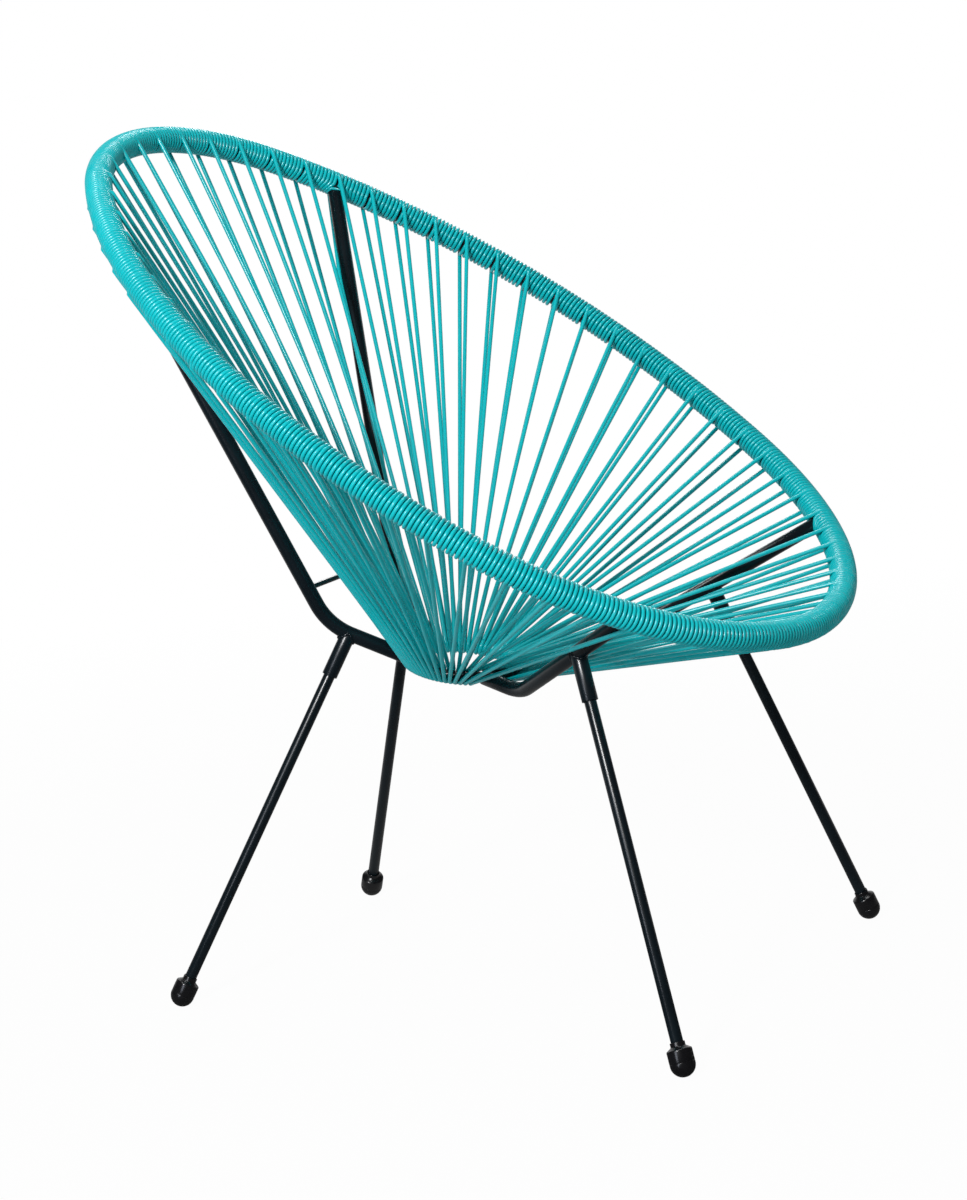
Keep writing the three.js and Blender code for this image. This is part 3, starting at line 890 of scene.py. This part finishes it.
@dataclass
class Leg:
    """One straight leg: its socket under the tube, the rod and the push-on foot cap."""

    tube: TubeLine
    rod_radius: float = 6.0
    rod_top: float = 15.3
    rod_rounding: float = 0.5
    socket_radius: float = 8.0
    socket_length: float = 48.0
    socket_mouth_depth: float = 2.0
    socket_rounding: float = 0.4
    rod_clearance: float = 0.3
    cap_radius: float = 12.3
    cap_length: float = 14.3
    cap_rounding: float = 0.25
    cap_smooth_degrees: float = 40.0
    shoulder_rise: float = 2.3
    shoulder_rounding: float = 1.6
    shoulder_start: float = 0.2
    shoulder_steps: int = 5
    collar_radius: float = 7.2
    collar_length: float = 21.0
    collar_mouth_depth: float = 3.0
    collar_rounding: float = 0.35
    parting_height: float = 1.5
    parting_depth: float = 0.25
    dome_height: float = 11.6
    dome_steps: int = 12
    sides: int = 32
    bead: WeldBead = field(default_factory=WeldBead)
    hung_from: Array = field(init=False)
    top: Array = field(init=False)
    foot: Array = field(init=False)
    down: Array = field(init=False)

    def __post_init__(self) -> None:
        """Works out where the leg hangs from its tube and where it stands."""
        tube, plan = self.tube, PLANS[self.tube.place]
        end = tube.hub if tube.place is Place.REAR else tube.hoop
        self.hung_from = end - tube.bend
        self.top = tube.bend + self.hung_from * plan.leg_share
        x, y = plan.foot
        self.foot = np.array([tube.side.value * x, y, self.dome_height])
        self.down = unit(self.foot - self.top)

    def build_socket(self) -> bpy.types.Object:
        """Pulls a disc down to the socket's end and sinks its mouth round the rod.

        Returns:
            The socket.
        """
        start_disc(self.top, self.down, self.socket_radius, self.sides)
        extrude(self.down * self.socket_length)
        wall = self.socket_radius - self.rod_radius - self.rod_clearance
        bpy.ops.mesh.inset(thickness=wall * MM)
        extrude(-self.down * self.socket_mouth_depth)
        return close_piece(f"socket_{self.tube.where}", bevel=self.socket_rounding)

    def build_rod(self) -> bpy.types.Object:
        """Pulls a disc from inside the socket into the foot cap.

        Returns:
            The rod.
        """
        start = self.top + self.down * self.rod_top
        start_disc(start, self.down, self.rod_radius, self.sides)
        extrude(self.foot - start)
        return close_piece(f"rod_{self.tube.where}", bevel=self.rod_rounding)

    def cap_profile(self) -> list[tuple[float, float]]:
        """The cap's outline from its mouth down to the pole.

        Returns:
            Radius and height above the dome's middle of each corner.
        """
        mouth = self.rod_radius + self.rod_clearance
        rounding, bulge = self.collar_rounding, self.shoulder_rounding
        shoulder = self.cap_length + self.shoulder_rise
        profile = [
            (mouth, self.collar_length - self.collar_mouth_depth),
            (mouth, self.collar_length - rounding),
            (mouth + rounding, self.collar_length),
            (self.collar_radius - rounding / 2, self.collar_length - rounding / 2),
            (self.collar_radius, self.collar_length - rounding),
            (self.collar_radius, shoulder + rounding),
            (self.collar_radius + rounding, shoulder),
        ]
        for share in np.linspace(self.shoulder_start, 1, self.shoulder_steps):
            angle = math.pi / 2 * share
            out = self.cap_radius - bulge + bulge * math.sin(angle)
            profile.append((out, self.cap_length - bulge + bulge * math.cos(angle)))
        seam, depth = self.parting_height, self.parting_depth
        profile += [
            (self.cap_radius, seam + depth),
            (self.cap_radius - depth, seam),
            (self.cap_radius, seam - depth),
        ]
        for i in range(self.dome_steps):
            angle = math.pi / 2 * (1 + i / self.dome_steps)
            profile.append((self.cap_radius * math.sin(angle), self.cap_radius * math.cos(angle)))
        return profile

    def build_cap(self) -> bpy.types.Object:
        """Turns the cap by pulling and scaling a disc, then cuts its foot flat on the floor.

        Returns:
            The foot cap.
        """
        profile = self.cap_profile()
        up = -self.down
        radius, height = profile[0]
        start_disc(self.foot + up * height, up, radius, self.sides)
        for next_radius, next_height in profile[1:]:
            extrude(up * (next_height - height))
            centre = tuple(Vector(self.foot + up * next_height) * MM)
            factor = next_radius / radius
            bpy.ops.transform.resize(value=(factor, factor, factor), center_override=centre)
            radius, height = next_radius, next_height
        bpy.ops.mesh.select_all(action="SELECT")
        bpy.ops.mesh.bisect(
            plane_co=(0, 0, 0), plane_no=(0, 0, 1), use_fill=True, clear_inner=True
        )
        name = f"cap_{self.tube.where}"
        return close_piece(name, smooth_degrees=self.cap_smooth_degrees, bevel=self.cap_rounding)

    def build(self, coat: bpy.types.Material, plastic: bpy.types.Material) -> None:
        """Makes and dresses the leg's pieces.

        Args:
            coat: The powder coat.
            plastic: The foot cap's plastic.
        """
        where, tube = self.tube.where, self.tube
        dress(self.build_socket(), coat, "frame", f"leg_socket_{where}")
        dress(self.build_rod(), coat, "frame", f"leg_{where}")
        dress(self.build_cap(), plastic, "foot", f"foot_cap_{where}")
        name, radius = f"socket_weld_{where}", self.socket_radius
        bead = self.bead.around_branch(
            name, self.top, self.down, radius, self.hung_from, tube.radius
        )
        dress(bead, coat, "frame")


@dataclass
class Stretch:
    """A stretch of hoop between two tubes, with its packets of turns and its hub loops."""

    names: list[str]
    packets: int
    turns: int
    arcs: tuple[float, float]
    loops: int
    outside: tuple[float, float]
    ease: float = 0.0


@dataclass
class Packet:
    """One packet of close turns on the hoop, between an inner and an outer strand."""

    start: float
    end: float
    turns: int


@dataclass
class Loop:
    """Where the cord passes under the hub ring, as angles outside and inside the ring."""

    outside: float
    inside: float


@dataclass
class CordWeb:
    """The one cord that strings the chair, in the sectors that the frame's nodes have.

    A packet's first and last turn cross over to their strands within the crossing share of a
    turn, and its turns spread by the relaxed share on the hoop's inner side. A turn closer to
    its neighbour than the cord's thickness less the squeeze is lifted over it.
    """

    hoop: HoopLine
    hub: HubLine
    tubes: list[TubeLine]
    cord_radius: float = 2.22
    wound_radius: float = 1.98
    front_packets: int = 16
    side_packets: int = 18
    rear_packets: int = 12
    front_turns: int = 7
    side_turns: int = 9
    rear_turns: int = 10
    steps_per_turn: int = 28
    loop_steps: int = 14
    strand_steps: int = 6
    cord_sides: int = 10
    crossing_turn_share: float = 0.1
    relaxed_share: float = 0.65
    squeeze: float = 1.2
    tube_clearance: float = 0.2
    corner_reach: float = 16.0
    strand_end_share: float = 0.02
    flat_crossing: float = 0.7
    room_before_front: float = 18.5
    room_behind_front: float = 11.5
    room_at_rear: float = 12.4
    loop_ease: float = 0.25
    seam_distance: float = 4.3
    fitting_rounds: int = 2

    @property
    def wrap(self) -> float:
        """The radius on which the cord's turns lie round the hoop."""
        return self.hoop.tube_radius + self.wound_radius

    @property
    def hub_wrap(self) -> float:
        """The radius on which the cord's loops lie round the hub ring's rod."""
        return self.hub.rod_radius + self.cord_radius

    def stretches(self) -> list[Stretch]:
        """The four stretches in the order in which the cord was wound.

        Returns:
            Front, left, rear and right.
        """
        front, rear = [math.radians(PLANS[place].hub_degrees) for place in Place]
        front_arc, rear_arc = [PLANS[place].hoop_arc for place in Place]
        reach = self.hub.ring_radius + self.hub_wrap
        rooms = (self.room_before_front, self.room_behind_front, self.room_at_rear)
        before, behind, at_rear = [room / reach for room in rooms]
        length = self.hoop.length
        count, side, sides = self.front_packets, self.side_packets, self.side_turns
        return [
            Stretch(
                ["front_right", "front_middle", "front_left"],
                count, self.front_turns, (-front_arc, front_arc),
                count - 1, (-front + before, front - before),
            ),
            Stretch(
                [f"left_{i}" for i in (1, 2, 3, 4)],
                side, sides, (front_arc, rear_arc),
                side + 1, (front + behind, rear - at_rear), self.loop_ease,
            ),
            Stretch(
                ["rear_left", "rear_middle", "rear_right"],
                self.rear_packets, self.rear_turns, (rear_arc, length - rear_arc),
                self.rear_packets, (rear + at_rear, FULL_TURN - rear - at_rear),
            ),
            Stretch(
                [f"right_{i}" for i in (4, 3, 2, 1)],
                side, sides, (length - rear_arc, length - front_arc),
                side, (FULL_TURN - rear + at_rear, FULL_TURN - front - behind), -self.loop_ease,
            ),
        ]

    def packets(self) -> list[Packet]:
        """All packets round the hoop.

        Returns:
            The packets in the order in which they were wound.
        """
        found = []
        for stretch in self.stretches():
            edges = np.linspace(*stretch.arcs, stretch.packets + 1)
            for start, end in zip(edges[:-1], edges[1:]):
                found.append(Packet(float(start), float(end), stretch.turns))
        return found

    def loops(self) -> list[Loop]:
        """All hub loops: even inside the ring, and clear of the tubes outside it.

        Returns:
            The loops, each after the packet of the same number.
        """
        outside = []
        for stretch in self.stretches():
            first, last = stretch.outside
            for i in range(stretch.loops):
                share = (i + 0.5) / stretch.loops
                eased = share + stretch.ease * share * (1 - share)
                outside.append(first + (last - first) * eased)
        step = FULL_TURN / len(outside)
        inside = -(self.front_packets - 2) / 2 * step
        return [Loop(angle, inside + i * step) for i, angle in enumerate(outside)]

    def clear_of_tubes(self, arcs: Array, angles: Array) -> Array:
        """Pushes turns apart along the hoop where a bent tube leaves it.

        Args:
            arcs: Arc lengths of the cord's points.
            angles: Their angles round the hoop, from outwards to upwards.

        Returns:
            The arc lengths, moved off the tubes.
        """
        wrap = self.wrap
        moved = arcs.copy()
        for line in self.tubes:
            _, along, above, outwards = self.hoop.frames(np.array(line.arc))
            direction = unit(line.bend - line.hoop)
            across = direction - (direction @ along) * along
            slope = (direction @ along) / np.linalg.norm(across)
            heading = math.atan2(across @ above, across @ outwards)
            apart = (angles - heading + math.pi) % FULL_TURN - math.pi
            near = np.clip(np.cos(apart), 0, 1)
            room = line.radius + self.wound_radius + self.tube_clearance
            chord = np.clip(room**2 - (wrap * np.sin(apart)) ** 2, 0, None)
            need = np.where(near > 0, np.sqrt(chord), 0)
            middle = line.arc + wrap * slope * near
            half = self.hoop.length / 2
            distance = (arcs - middle + half) % self.hoop.length - half
            push = np.sqrt(distance**2 + need**2) - np.abs(distance)
            moved += np.where(distance < 0, -1, 1) * push
        return moved

    def hub_tangent(self, ring_angle: float, rim: Array, layer: Layer) -> tuple[float, Array]:
        """Where a strand touches the hub ring's rod.

        Args:
            ring_angle: The place on the ring.
            rim: The strand's other end.
            layer: Inner or outer.

        Returns:
            The angle round the rod, from outwards to upwards, and the point.
        """
        centre, outwards = self.hub.frames(np.array(ring_angle))
        rise = rim - centre
        x, y = rise @ outwards, rise @ self.hub.normal
        angle = math.atan2(y, x) + layer.value * math.acos(self.hub_wrap / math.hypot(x, y))
        turned = np.array(angle)
        return angle, on_circles(centre, outwards, self.hub.normal, turned, self.hub_wrap)

    def rim_tangent(self, arc: float, end: Array, layer: Layer) -> tuple[float, float]:
        """Where a strand touches the packet's first or last turn.

        Args:
            arc: The arc length at which it leaves the hoop.
            end: The strand's other end.
            layer: Inner or outer.

        Returns:
            The angle round the hoop and the strand's advance along it per length.
        """
        centre, along, above, outwards = (item[0] for item in self.hoop.frames(np.array([arc])))
        towards = end - centre
        x, y = towards @ outwards, towards @ above
        lean = math.acos(self.wrap / math.hypot(x, y))
        angle = math.atan2(y, x) % FULL_TURN - layer.value * lean
        return angle, float(towards @ along) / math.hypot(x, y)

    def turns(
        self, packet: Packet, inner_end: Array, outer_end: Array
    ) -> tuple[Array, Array]:
        """The cord's way round the hoop, from the inner strand to the outer one.

        Args:
            packet: The packet.
            inner_end: The inner strand's point on the hub ring.
            outer_end: The outer strand's point on the hub ring.

        Returns:
            The points in order and the cord's radius at each, drawn thinner where it is taut.
        """
        pitch = (packet.end - packet.start) / packet.turns
        first_arc = packet.start + pitch / 4
        last_arc = first_arc + (packet.turns - 0.5) * pitch
        top, slant_in = self.rim_tangent(first_arc, inner_end, Layer.INNER)
        bottom, slant_out = self.rim_tangent(last_arc, outer_end, Layer.OUTER)
        bottom -= FULL_TURN * round((bottom - top) / FULL_TURN + packet.turns - 0.5)
        count = round((top - bottom) / FULL_TURN * self.steps_per_turn)
        angles = np.linspace(top, bottom, count + 1)
        arcs = first_arc + pitch * (math.pi / 2 - angles) / FULL_TURN
        crossing = self.crossing_turn_share * FULL_TURN
        start = np.clip(1 - (top - angles) / crossing, 0, 1)
        stop = np.clip(1 - (angles - bottom) / crossing, 0, 1)
        middle, half = (first_arc + last_arc) / 2, (last_arc - first_arc) / 2
        inner_face = (1 - np.cos(angles)) / 2
        arcs = arcs + self.relaxed_share * pitch / 2 * inner_face * (arcs - middle) / half
        drift = self.wrap * crossing / 2 * (slant_in * start**2 + slant_out * stop**2)
        apart = pitch - np.abs(drift) + self.squeeze
        lift = np.sqrt(np.clip((2 * self.cord_radius) ** 2 - apart**2, 0, None))
        arcs = self.clear_of_tubes(arcs + drift, angles)
        centres, _, above, outwards = self.hoop.frames(arcs)
        points = on_circles(centres, outwards, above, angles, self.wrap + lift)
        slack = np.maximum(start, stop)
        return points, self.wound_radius + (self.cord_radius - self.wound_radius) * slack

    def strand_corners(self, start: Array, end: Array, layer: Layer) -> list[Array]:
        """The corners at which a straight strand is led round the tubes in its way.

        Args:
            start: Its end on the hoop.
            end: Its end on the hub ring.
            layer: Inner or outer; an outer strand passes below a tube that it crosses.

        Returns:
            The corners, without the two ends.
        """
        corners = []
        first = end - start
        for line in self.tubes:
            need = line.radius + self.cord_radius + self.tube_clearance
            for low, high in ((line.hoop, line.bend), (line.bend, line.hub)):
                second, offset = high - low, start - low
                mixed = first @ second
                spread = (first @ first) * (second @ second) - mixed**2
                share = (mixed * (second @ offset) - (second @ second) * (first @ offset)) / spread
                share = min(max(share, 0.0), 1.0)
                on_tube = (mixed * share + second @ offset) / (second @ second)
                tube_point = low + second * min(max(on_tube, 0.0), 1.0)
                apart = start + first * share - tube_point
                at_end = not self.strand_end_share < share < 1 - self.strand_end_share
                if np.linalg.norm(apart) >= need or at_end:
                    continue
                away = unit(np.cross(first, second))
                uprightness = away @ self.hub.normal
                sign = np.sign(away @ apart)
                if abs(uprightness) > self.flat_crossing:
                    sign = np.sign(uprightness) * layer.value
                corners.append(tube_point + away * sign * need)
        return corners

    def strand(self, start: Array, end: Array, layer: Layer) -> Array:
        """The points of a strand, straight or with a soft bend at each corner.

        Args:
            start: Its end on the hoop.
            end: Its end on the hub ring.
            layer: Inner or outer.

        Returns:
            The points between the two ends, without them.
        """
        corners = [start, *self.strand_corners(start, end, layer), end]
        points = []
        for before, corner, after in zip(corners[:-2], corners[1:-1], corners[2:]):
            near = corner + unit(before - corner) * self.corner_reach
            far = corner + unit(after - corner) * self.corner_reach
            for t in np.linspace(0, 1, self.strand_steps):
                points.append((1 - t) ** 2 * near + 2 * t * (1 - t) * corner + t**2 * far)
        if not points:
            shares = (self.strand_end_share, 0.5, 1 - self.strand_end_share)
            points = [start + (end - start) * t for t in shares]
        return np.array(points)

    def hub_turn(self, loop: Loop, outer_angle: float, inner_angle: float) -> Array:
        """The cord's way under the hub ring.

        Args:
            loop: Where it passes the ring.
            outer_angle: The angle round the rod at which the outer strand touches it.
            inner_angle: The same for the inner strand.

        Returns:
            The points, from outside the ring to inside it.
        """
        inner_angle -= FULL_TURN * math.ceil((inner_angle - outer_angle) / FULL_TURN)
        shares = np.linspace(0, 1, self.loop_steps + 1)
        angles = outer_angle + (inner_angle - outer_angle) * shares
        centres, outwards = self.hub.frames(loop.outside + (loop.inside - loop.outside) * shares)
        return on_circles(centres, outwards, self.hub.normal, angles, self.hub_wrap)

    def route(self) -> tuple[list[tuple[Array, Array]], list[tuple[Array, Array, Array]]]:
        """The whole cord, packet by packet.

        Returns:
            For each packet its turns' points and radii, and for each packet the strand down,
            the hub loop and the strand up to the next packet, without their ends on the hoop.
        """
        packets, loops = self.packets(), self.loops()
        ends = [self.hub.frames(np.array([loop.outside, loop.inside]))[0] for loop in loops]
        for _ in range(self.fitting_rounds):
            wound = [
                self.turns(packet, ends[i - 1][1], ends[i][0]) for i, packet in enumerate(packets)
            ]
            following = [points[0] for points, _ in wound[1:] + wound[:1]]
            touches = []
            for loop, (points, _), after in zip(loops, wound, following):
                down = self.hub_tangent(loop.outside, points[-1], Layer.OUTER)
                up = self.hub_tangent(loop.inside, after, Layer.INNER)
                touches.append((down, up))
            ends = [np.array([down[1], up[1]]) for down, up in touches]
        links = []
        for loop, (points, _), after, touch in zip(loops, wound, following, touches):
            (outer_angle, outer), (inner_angle, inner) = touch
            down = self.strand(points[-1], outer, Layer.OUTER)
            turn = self.hub_turn(loop, outer_angle, inner_angle)
            up = self.strand(after, inner, Layer.INNER)[::-1]
            links.append((down, turn, up))
        return wound, links

    def sectors(self) -> list[tuple[str, range]]:
        """How the packets are divided among the frame's nodes.

        Returns:
            Each sector's name and the packets that it holds.
        """
        found = []
        first = 0
        for stretch in self.stretches():
            count = len(stretch.names)
            edges = [first + math.floor(stretch.packets * i / count + 0.5) for i in range(count + 1)]
            for name, start, end in zip(stretch.names, edges[:-1], edges[1:]):
                found.append((name, range(start, end)))
            first += stretch.packets
        return found

    def seam(self, link: tuple[Array, Array, Array]) -> Array:
        """The point just above the hub loop at which one sector's cord passes to the next."""
        turn, up = link[1][-1], link[2][0]
        return (turn + unit(up - turn) * self.seam_distance)[None, :]

    def build(self, cord: bpy.types.Material) -> None:
        """Makes and dresses the cord's sectors, and reports the cord's length.

        Args:
            cord: The cord's PVC.
        """
        wound, links = self.route()
        total = 0.0
        for sector, own in self.sectors():
            parts = [self.seam(links[own[0] - 1]), links[own[0] - 1][2]]
            radii = [np.full(len(part), self.cord_radius) for part in parts]
            for i in own:
                points, drawn = wound[i]
                added = list(links[i])
                if i == own[-1]:
                    added[-1] = self.seam(links[i])
                parts += [points, *added]
                radii += [drawn, *(np.full(len(part), self.cord_radius) for part in added)]
            line = np.vstack(parts)
            total += float(np.linalg.norm(np.diff(line, axis=0), axis=1).sum())
            piece = swept_mesh(f"cord_{sector}", line, np.concatenate(radii), self.cord_sides)
            dress(piece, cord, "cord", f"cord_web_{sector}")
        log.info("cord length: %.1f m", total * MM)


@dataclass(frozen=True)
class Lamp:
    """One soft rectangular lamp that looks at the chair, with its power in watts."""

    name: str
    place: Point
    size: tuple[float, float]
    power: float
    colour: str = "FFFFFF"
    aim: Point = (0.0, 0.0, 450.0)

    def hang(self) -> None:
        """Makes the lamp and turns it to the chair."""
        data = bpy.data.lights.new(self.name, "AREA")
        data.shape = "RECTANGLE"
        data.size, data.size_y = self.size[0] * MM, self.size[1] * MM
        data.energy = self.power
        data.color = linear_colour(self.colour)[:3]
        lamp = bpy.data.objects.new(self.name, data)
        lamp.location = Vector(self.place) * MM
        turn = (Vector(self.aim) - Vector(self.place)).to_track_quat("-Z", "Y")
        lamp.rotation_euler = turn.to_euler()
        bpy.context.scene.collection.objects.link(lamp)


@dataclass
class Studio:
    """The white floor, soft lamps and the photograph's camera."""

    photo_height: float = 1200.0
    focal_pixels: float = 2882.2
    camera_place: Point = (-2540.4, -1396.7, 954.2)
    yaw_degrees: float = 28.8727
    pitch_degrees: float = 10.9226
    roll_degrees: float = 4.80526
    centre_shift_pixels: tuple[float, float] = (-1.0, 0.3)
    sensor_width: float = 36.0
    floor_reach: float = 30000.0
    floor_paint: str = "B4B4B4"
    floor_white_share: float = 0.97
    floor_fade: tuple[float, float] = (900.0, 2200.0)
    ambient: float = 0.45
    dark_end_share: float = 0.04
    floor_gloss_share: float = 0.6
    floor_sweep: tuple[float, float] = (-300.0, 1200.0)
    wall_gloss_share: float = 0.9
    wall_sweep_shares: tuple[float, float] = (0.5, 0.95)
    lamps: tuple[Lamp, ...] = (
        Lamp("key", (-2750, -200, 1950), (360, 360), 76),
        Lamp("top", (500, 300, 3000), (700, 700), 16),
        Lamp("side", (-2850, 250, 900), (500, 1800), 18, "EAF1FF"),
        Lamp("back", (2300, 1300, 1700), (700, 700), 15),
    )

    def build_camera(self) -> None:
        """Places the camera as fitted to the photograph."""
        yaw = math.radians(self.yaw_degrees)
        pitch = math.radians(self.pitch_degrees)
        roll = math.radians(self.roll_degrees)
        forward = Vector(
            (math.cos(yaw) * math.cos(pitch), math.sin(yaw) * math.cos(pitch), -math.sin(pitch))
        )
        level_right = Vector((math.sin(yaw), -math.cos(yaw), 0))
        level_down = forward.cross(level_right)
        right = math.cos(roll) * level_right + math.sin(roll) * level_down
        down = -math.sin(roll) * level_right + math.cos(roll) * level_down
        data = bpy.data.cameras.new("photo camera")
        data.sensor_fit = "AUTO"
        data.sensor_width = self.sensor_width
        data.lens = self.focal_pixels * self.sensor_width / self.photo_height
        data.shift_x = self.centre_shift_pixels[0] / self.photo_height
        data.shift_y = self.centre_shift_pixels[1] / self.photo_height
        data.clip_end = 100.0
        camera = bpy.data.objects.new("photo camera", data)
        turn = Matrix((right, -down, -forward)).transposed().to_4x4()
        camera.matrix_world = Matrix.Translation(Vector(self.camera_place) * MM) @ turn
        bpy.context.scene.collection.objects.link(camera)
        bpy.context.scene.camera = camera

    def white_to(
        self,
        owner: bpy.types.ID,
        place: bpy.types.NodeSocket,
        sweep: tuple[float, float],
        gloss_share: float,
    ) -> bpy.types.NodeSocket:
        """How white a ray sees the room: all white to the camera, dark behind it in a gloss.

        Args:
            owner: The material or world whose tree gets the nodes.
            place: A point on the floor, or a direction.
            sweep: How far ahead of the camera the dark stops and the white starts.
            gloss_share: How white a gloss shows the white end.

        Returns:
            The strength of the white.
        """
        yaw = math.radians(self.yaw_degrees)
        ahead = add_node(owner, "ShaderNodeVectorMath", {"operation": "DOT_PRODUCT"}, {0: place})
        ahead.inputs[1].default_value = (math.cos(yaw), math.sin(yaw), 0.0)
        shade = add_node(
            owner,
            "ShaderNodeMapRange",
            {
                "interpolation_type": "SMOOTHSTEP",
                "From Min": sweep[0],
                "From Max": sweep[1],
                "To Min": self.dark_end_share,
                "To Max": gloss_share,
            },
            {"Value": ahead.outputs["Value"]},
        )
        glossy = add_node(owner, "ShaderNodeLightPath").outputs["Is Glossy Ray"]
        strength = add_node(
            owner,
            "ShaderNodeMix",
            {"data_type": "FLOAT", "A": 1.0},
            {"Factor": glossy, "B": shade.outputs["Result"]},
        )
        return strength.outputs["Result"]

    @staticmethod
    def seen_directly(owner: bpy.types.ID) -> bpy.types.NodeSocket:
        """Tells the rays that see a surface from those that it lights.

        Args:
            owner: The material or world whose tree gets the nodes.

        Returns:
            One for a camera, mirror or glass ray, and else zero.
        """
        rays = add_node(owner, "ShaderNodeLightPath").outputs
        found = rays["Is Camera Ray"]
        for kind in ("Is Glossy Ray", "Is Transmission Ray"):
            links = {0: found, 1: rays[kind]}
            found = add_node(owner, "ShaderNodeMath", {"operation": "MAXIMUM"}, links).outputs[0]
        return found

    def build_floor(self) -> None:
        """Lays a white floor that keeps a soft shadow and looks white to the camera."""
        deselect_all()
        bpy.ops.mesh.primitive_plane_add(size=2 * self.floor_reach * MM)
        floor = bpy.context.object
        floor.name = "studio_floor"
        material = bpy.data.materials.new("white_paper_sweep")
        material.use_nodes = True
        material.node_tree.nodes.clear()
        place = add_node(material, "ShaderNodeTexCoord").outputs["Object"]
        far = add_node(material, "ShaderNodeVectorMath", {"operation": "LENGTH"}, {0: place})
        white = add_node(
            material,
            "ShaderNodeMapRange",
            {
                "From Min": self.floor_fade[0] * MM,
                "From Max": self.floor_fade[1] * MM,
                "To Min": self.floor_white_share,
                "To Max": 1.0,
            },
            {"Value": far.outputs["Value"]},
        )
        share = add_node(
            material,
            "ShaderNodeMath",
            {"operation": "MULTIPLY"},
            {0: self.seen_directly(material), 1: white.outputs["Result"]},
        )
        sweep = (self.floor_sweep[0] * MM, self.floor_sweep[1] * MM)
        strength = self.white_to(material, place, sweep, self.floor_gloss_share)
        colour = {"Color": linear_colour(self.floor_paint)}
        paint = add_node(material, "ShaderNodeBsdfDiffuse", colour)
        glow = add_node(material, "ShaderNodeEmission", None, {"Strength": strength})
        layers = {0: share.outputs[0], 1: paint.outputs[0], 2: glow.outputs[0]}
        mixed = add_node(material, "ShaderNodeMixShader", None, layers)
        surface = {"Surface": mixed.outputs["Shader"]}
        add_node(material, "ShaderNodeOutputMaterial", None, surface)
        floor.data.materials.append(material)

    def build_world(self) -> None:
        """Lights the room evenly and keeps its background white."""
        world = bpy.data.worlds.new("studio")
        bpy.context.scene.world = world
        world.use_nodes = True
        background = world.node_tree.nodes["Background"]
        background.inputs["Color"].default_value = (1, 1, 1, 1)
        place = add_node(world, "ShaderNodeTexCoord").outputs["Generated"]
        white = self.white_to(world, place, self.wall_sweep_shares, self.wall_gloss_share)
        strength = add_node(
            world,
            "ShaderNodeMapRange",
            {"To Min": self.ambient},
            {"Value": self.seen_directly(world), "To Max": white},
        )
        world.node_tree.links.new(strength.outputs["Result"], background.inputs["Strength"])

    def build(self) -> None:
        """Sets up the camera, the lamps, the floor and the room."""
        bpy.context.scene.view_settings.view_transform = "Standard"
        self.build_camera()
        self.build_world()
        self.build_floor()
        for lamp in self.lamps:
            lamp.hang()


def main() -> None:
    """Builds the chair's looks and its studio."""
    logging.basicConfig(level=logging.INFO, format="%(name)s %(message)s")
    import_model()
    Studio().build()
    hoop = HoopLine()
    hub = HubLine()
    tubes = [TubeLine(hoop, hub, place, side) for place in Place for side in Side]
    coat = PowderCoat().build()
    plastic = MouldedFoot().build()
    SteelFrame(hoop, hub, tubes).build(coat)
    for line in tubes:
        Leg(line).build(coat, plastic)
    CordWeb(hoop, hub, tubes).build(CordPvc().build())
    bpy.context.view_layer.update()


if __name__ == "__main__":
    main()
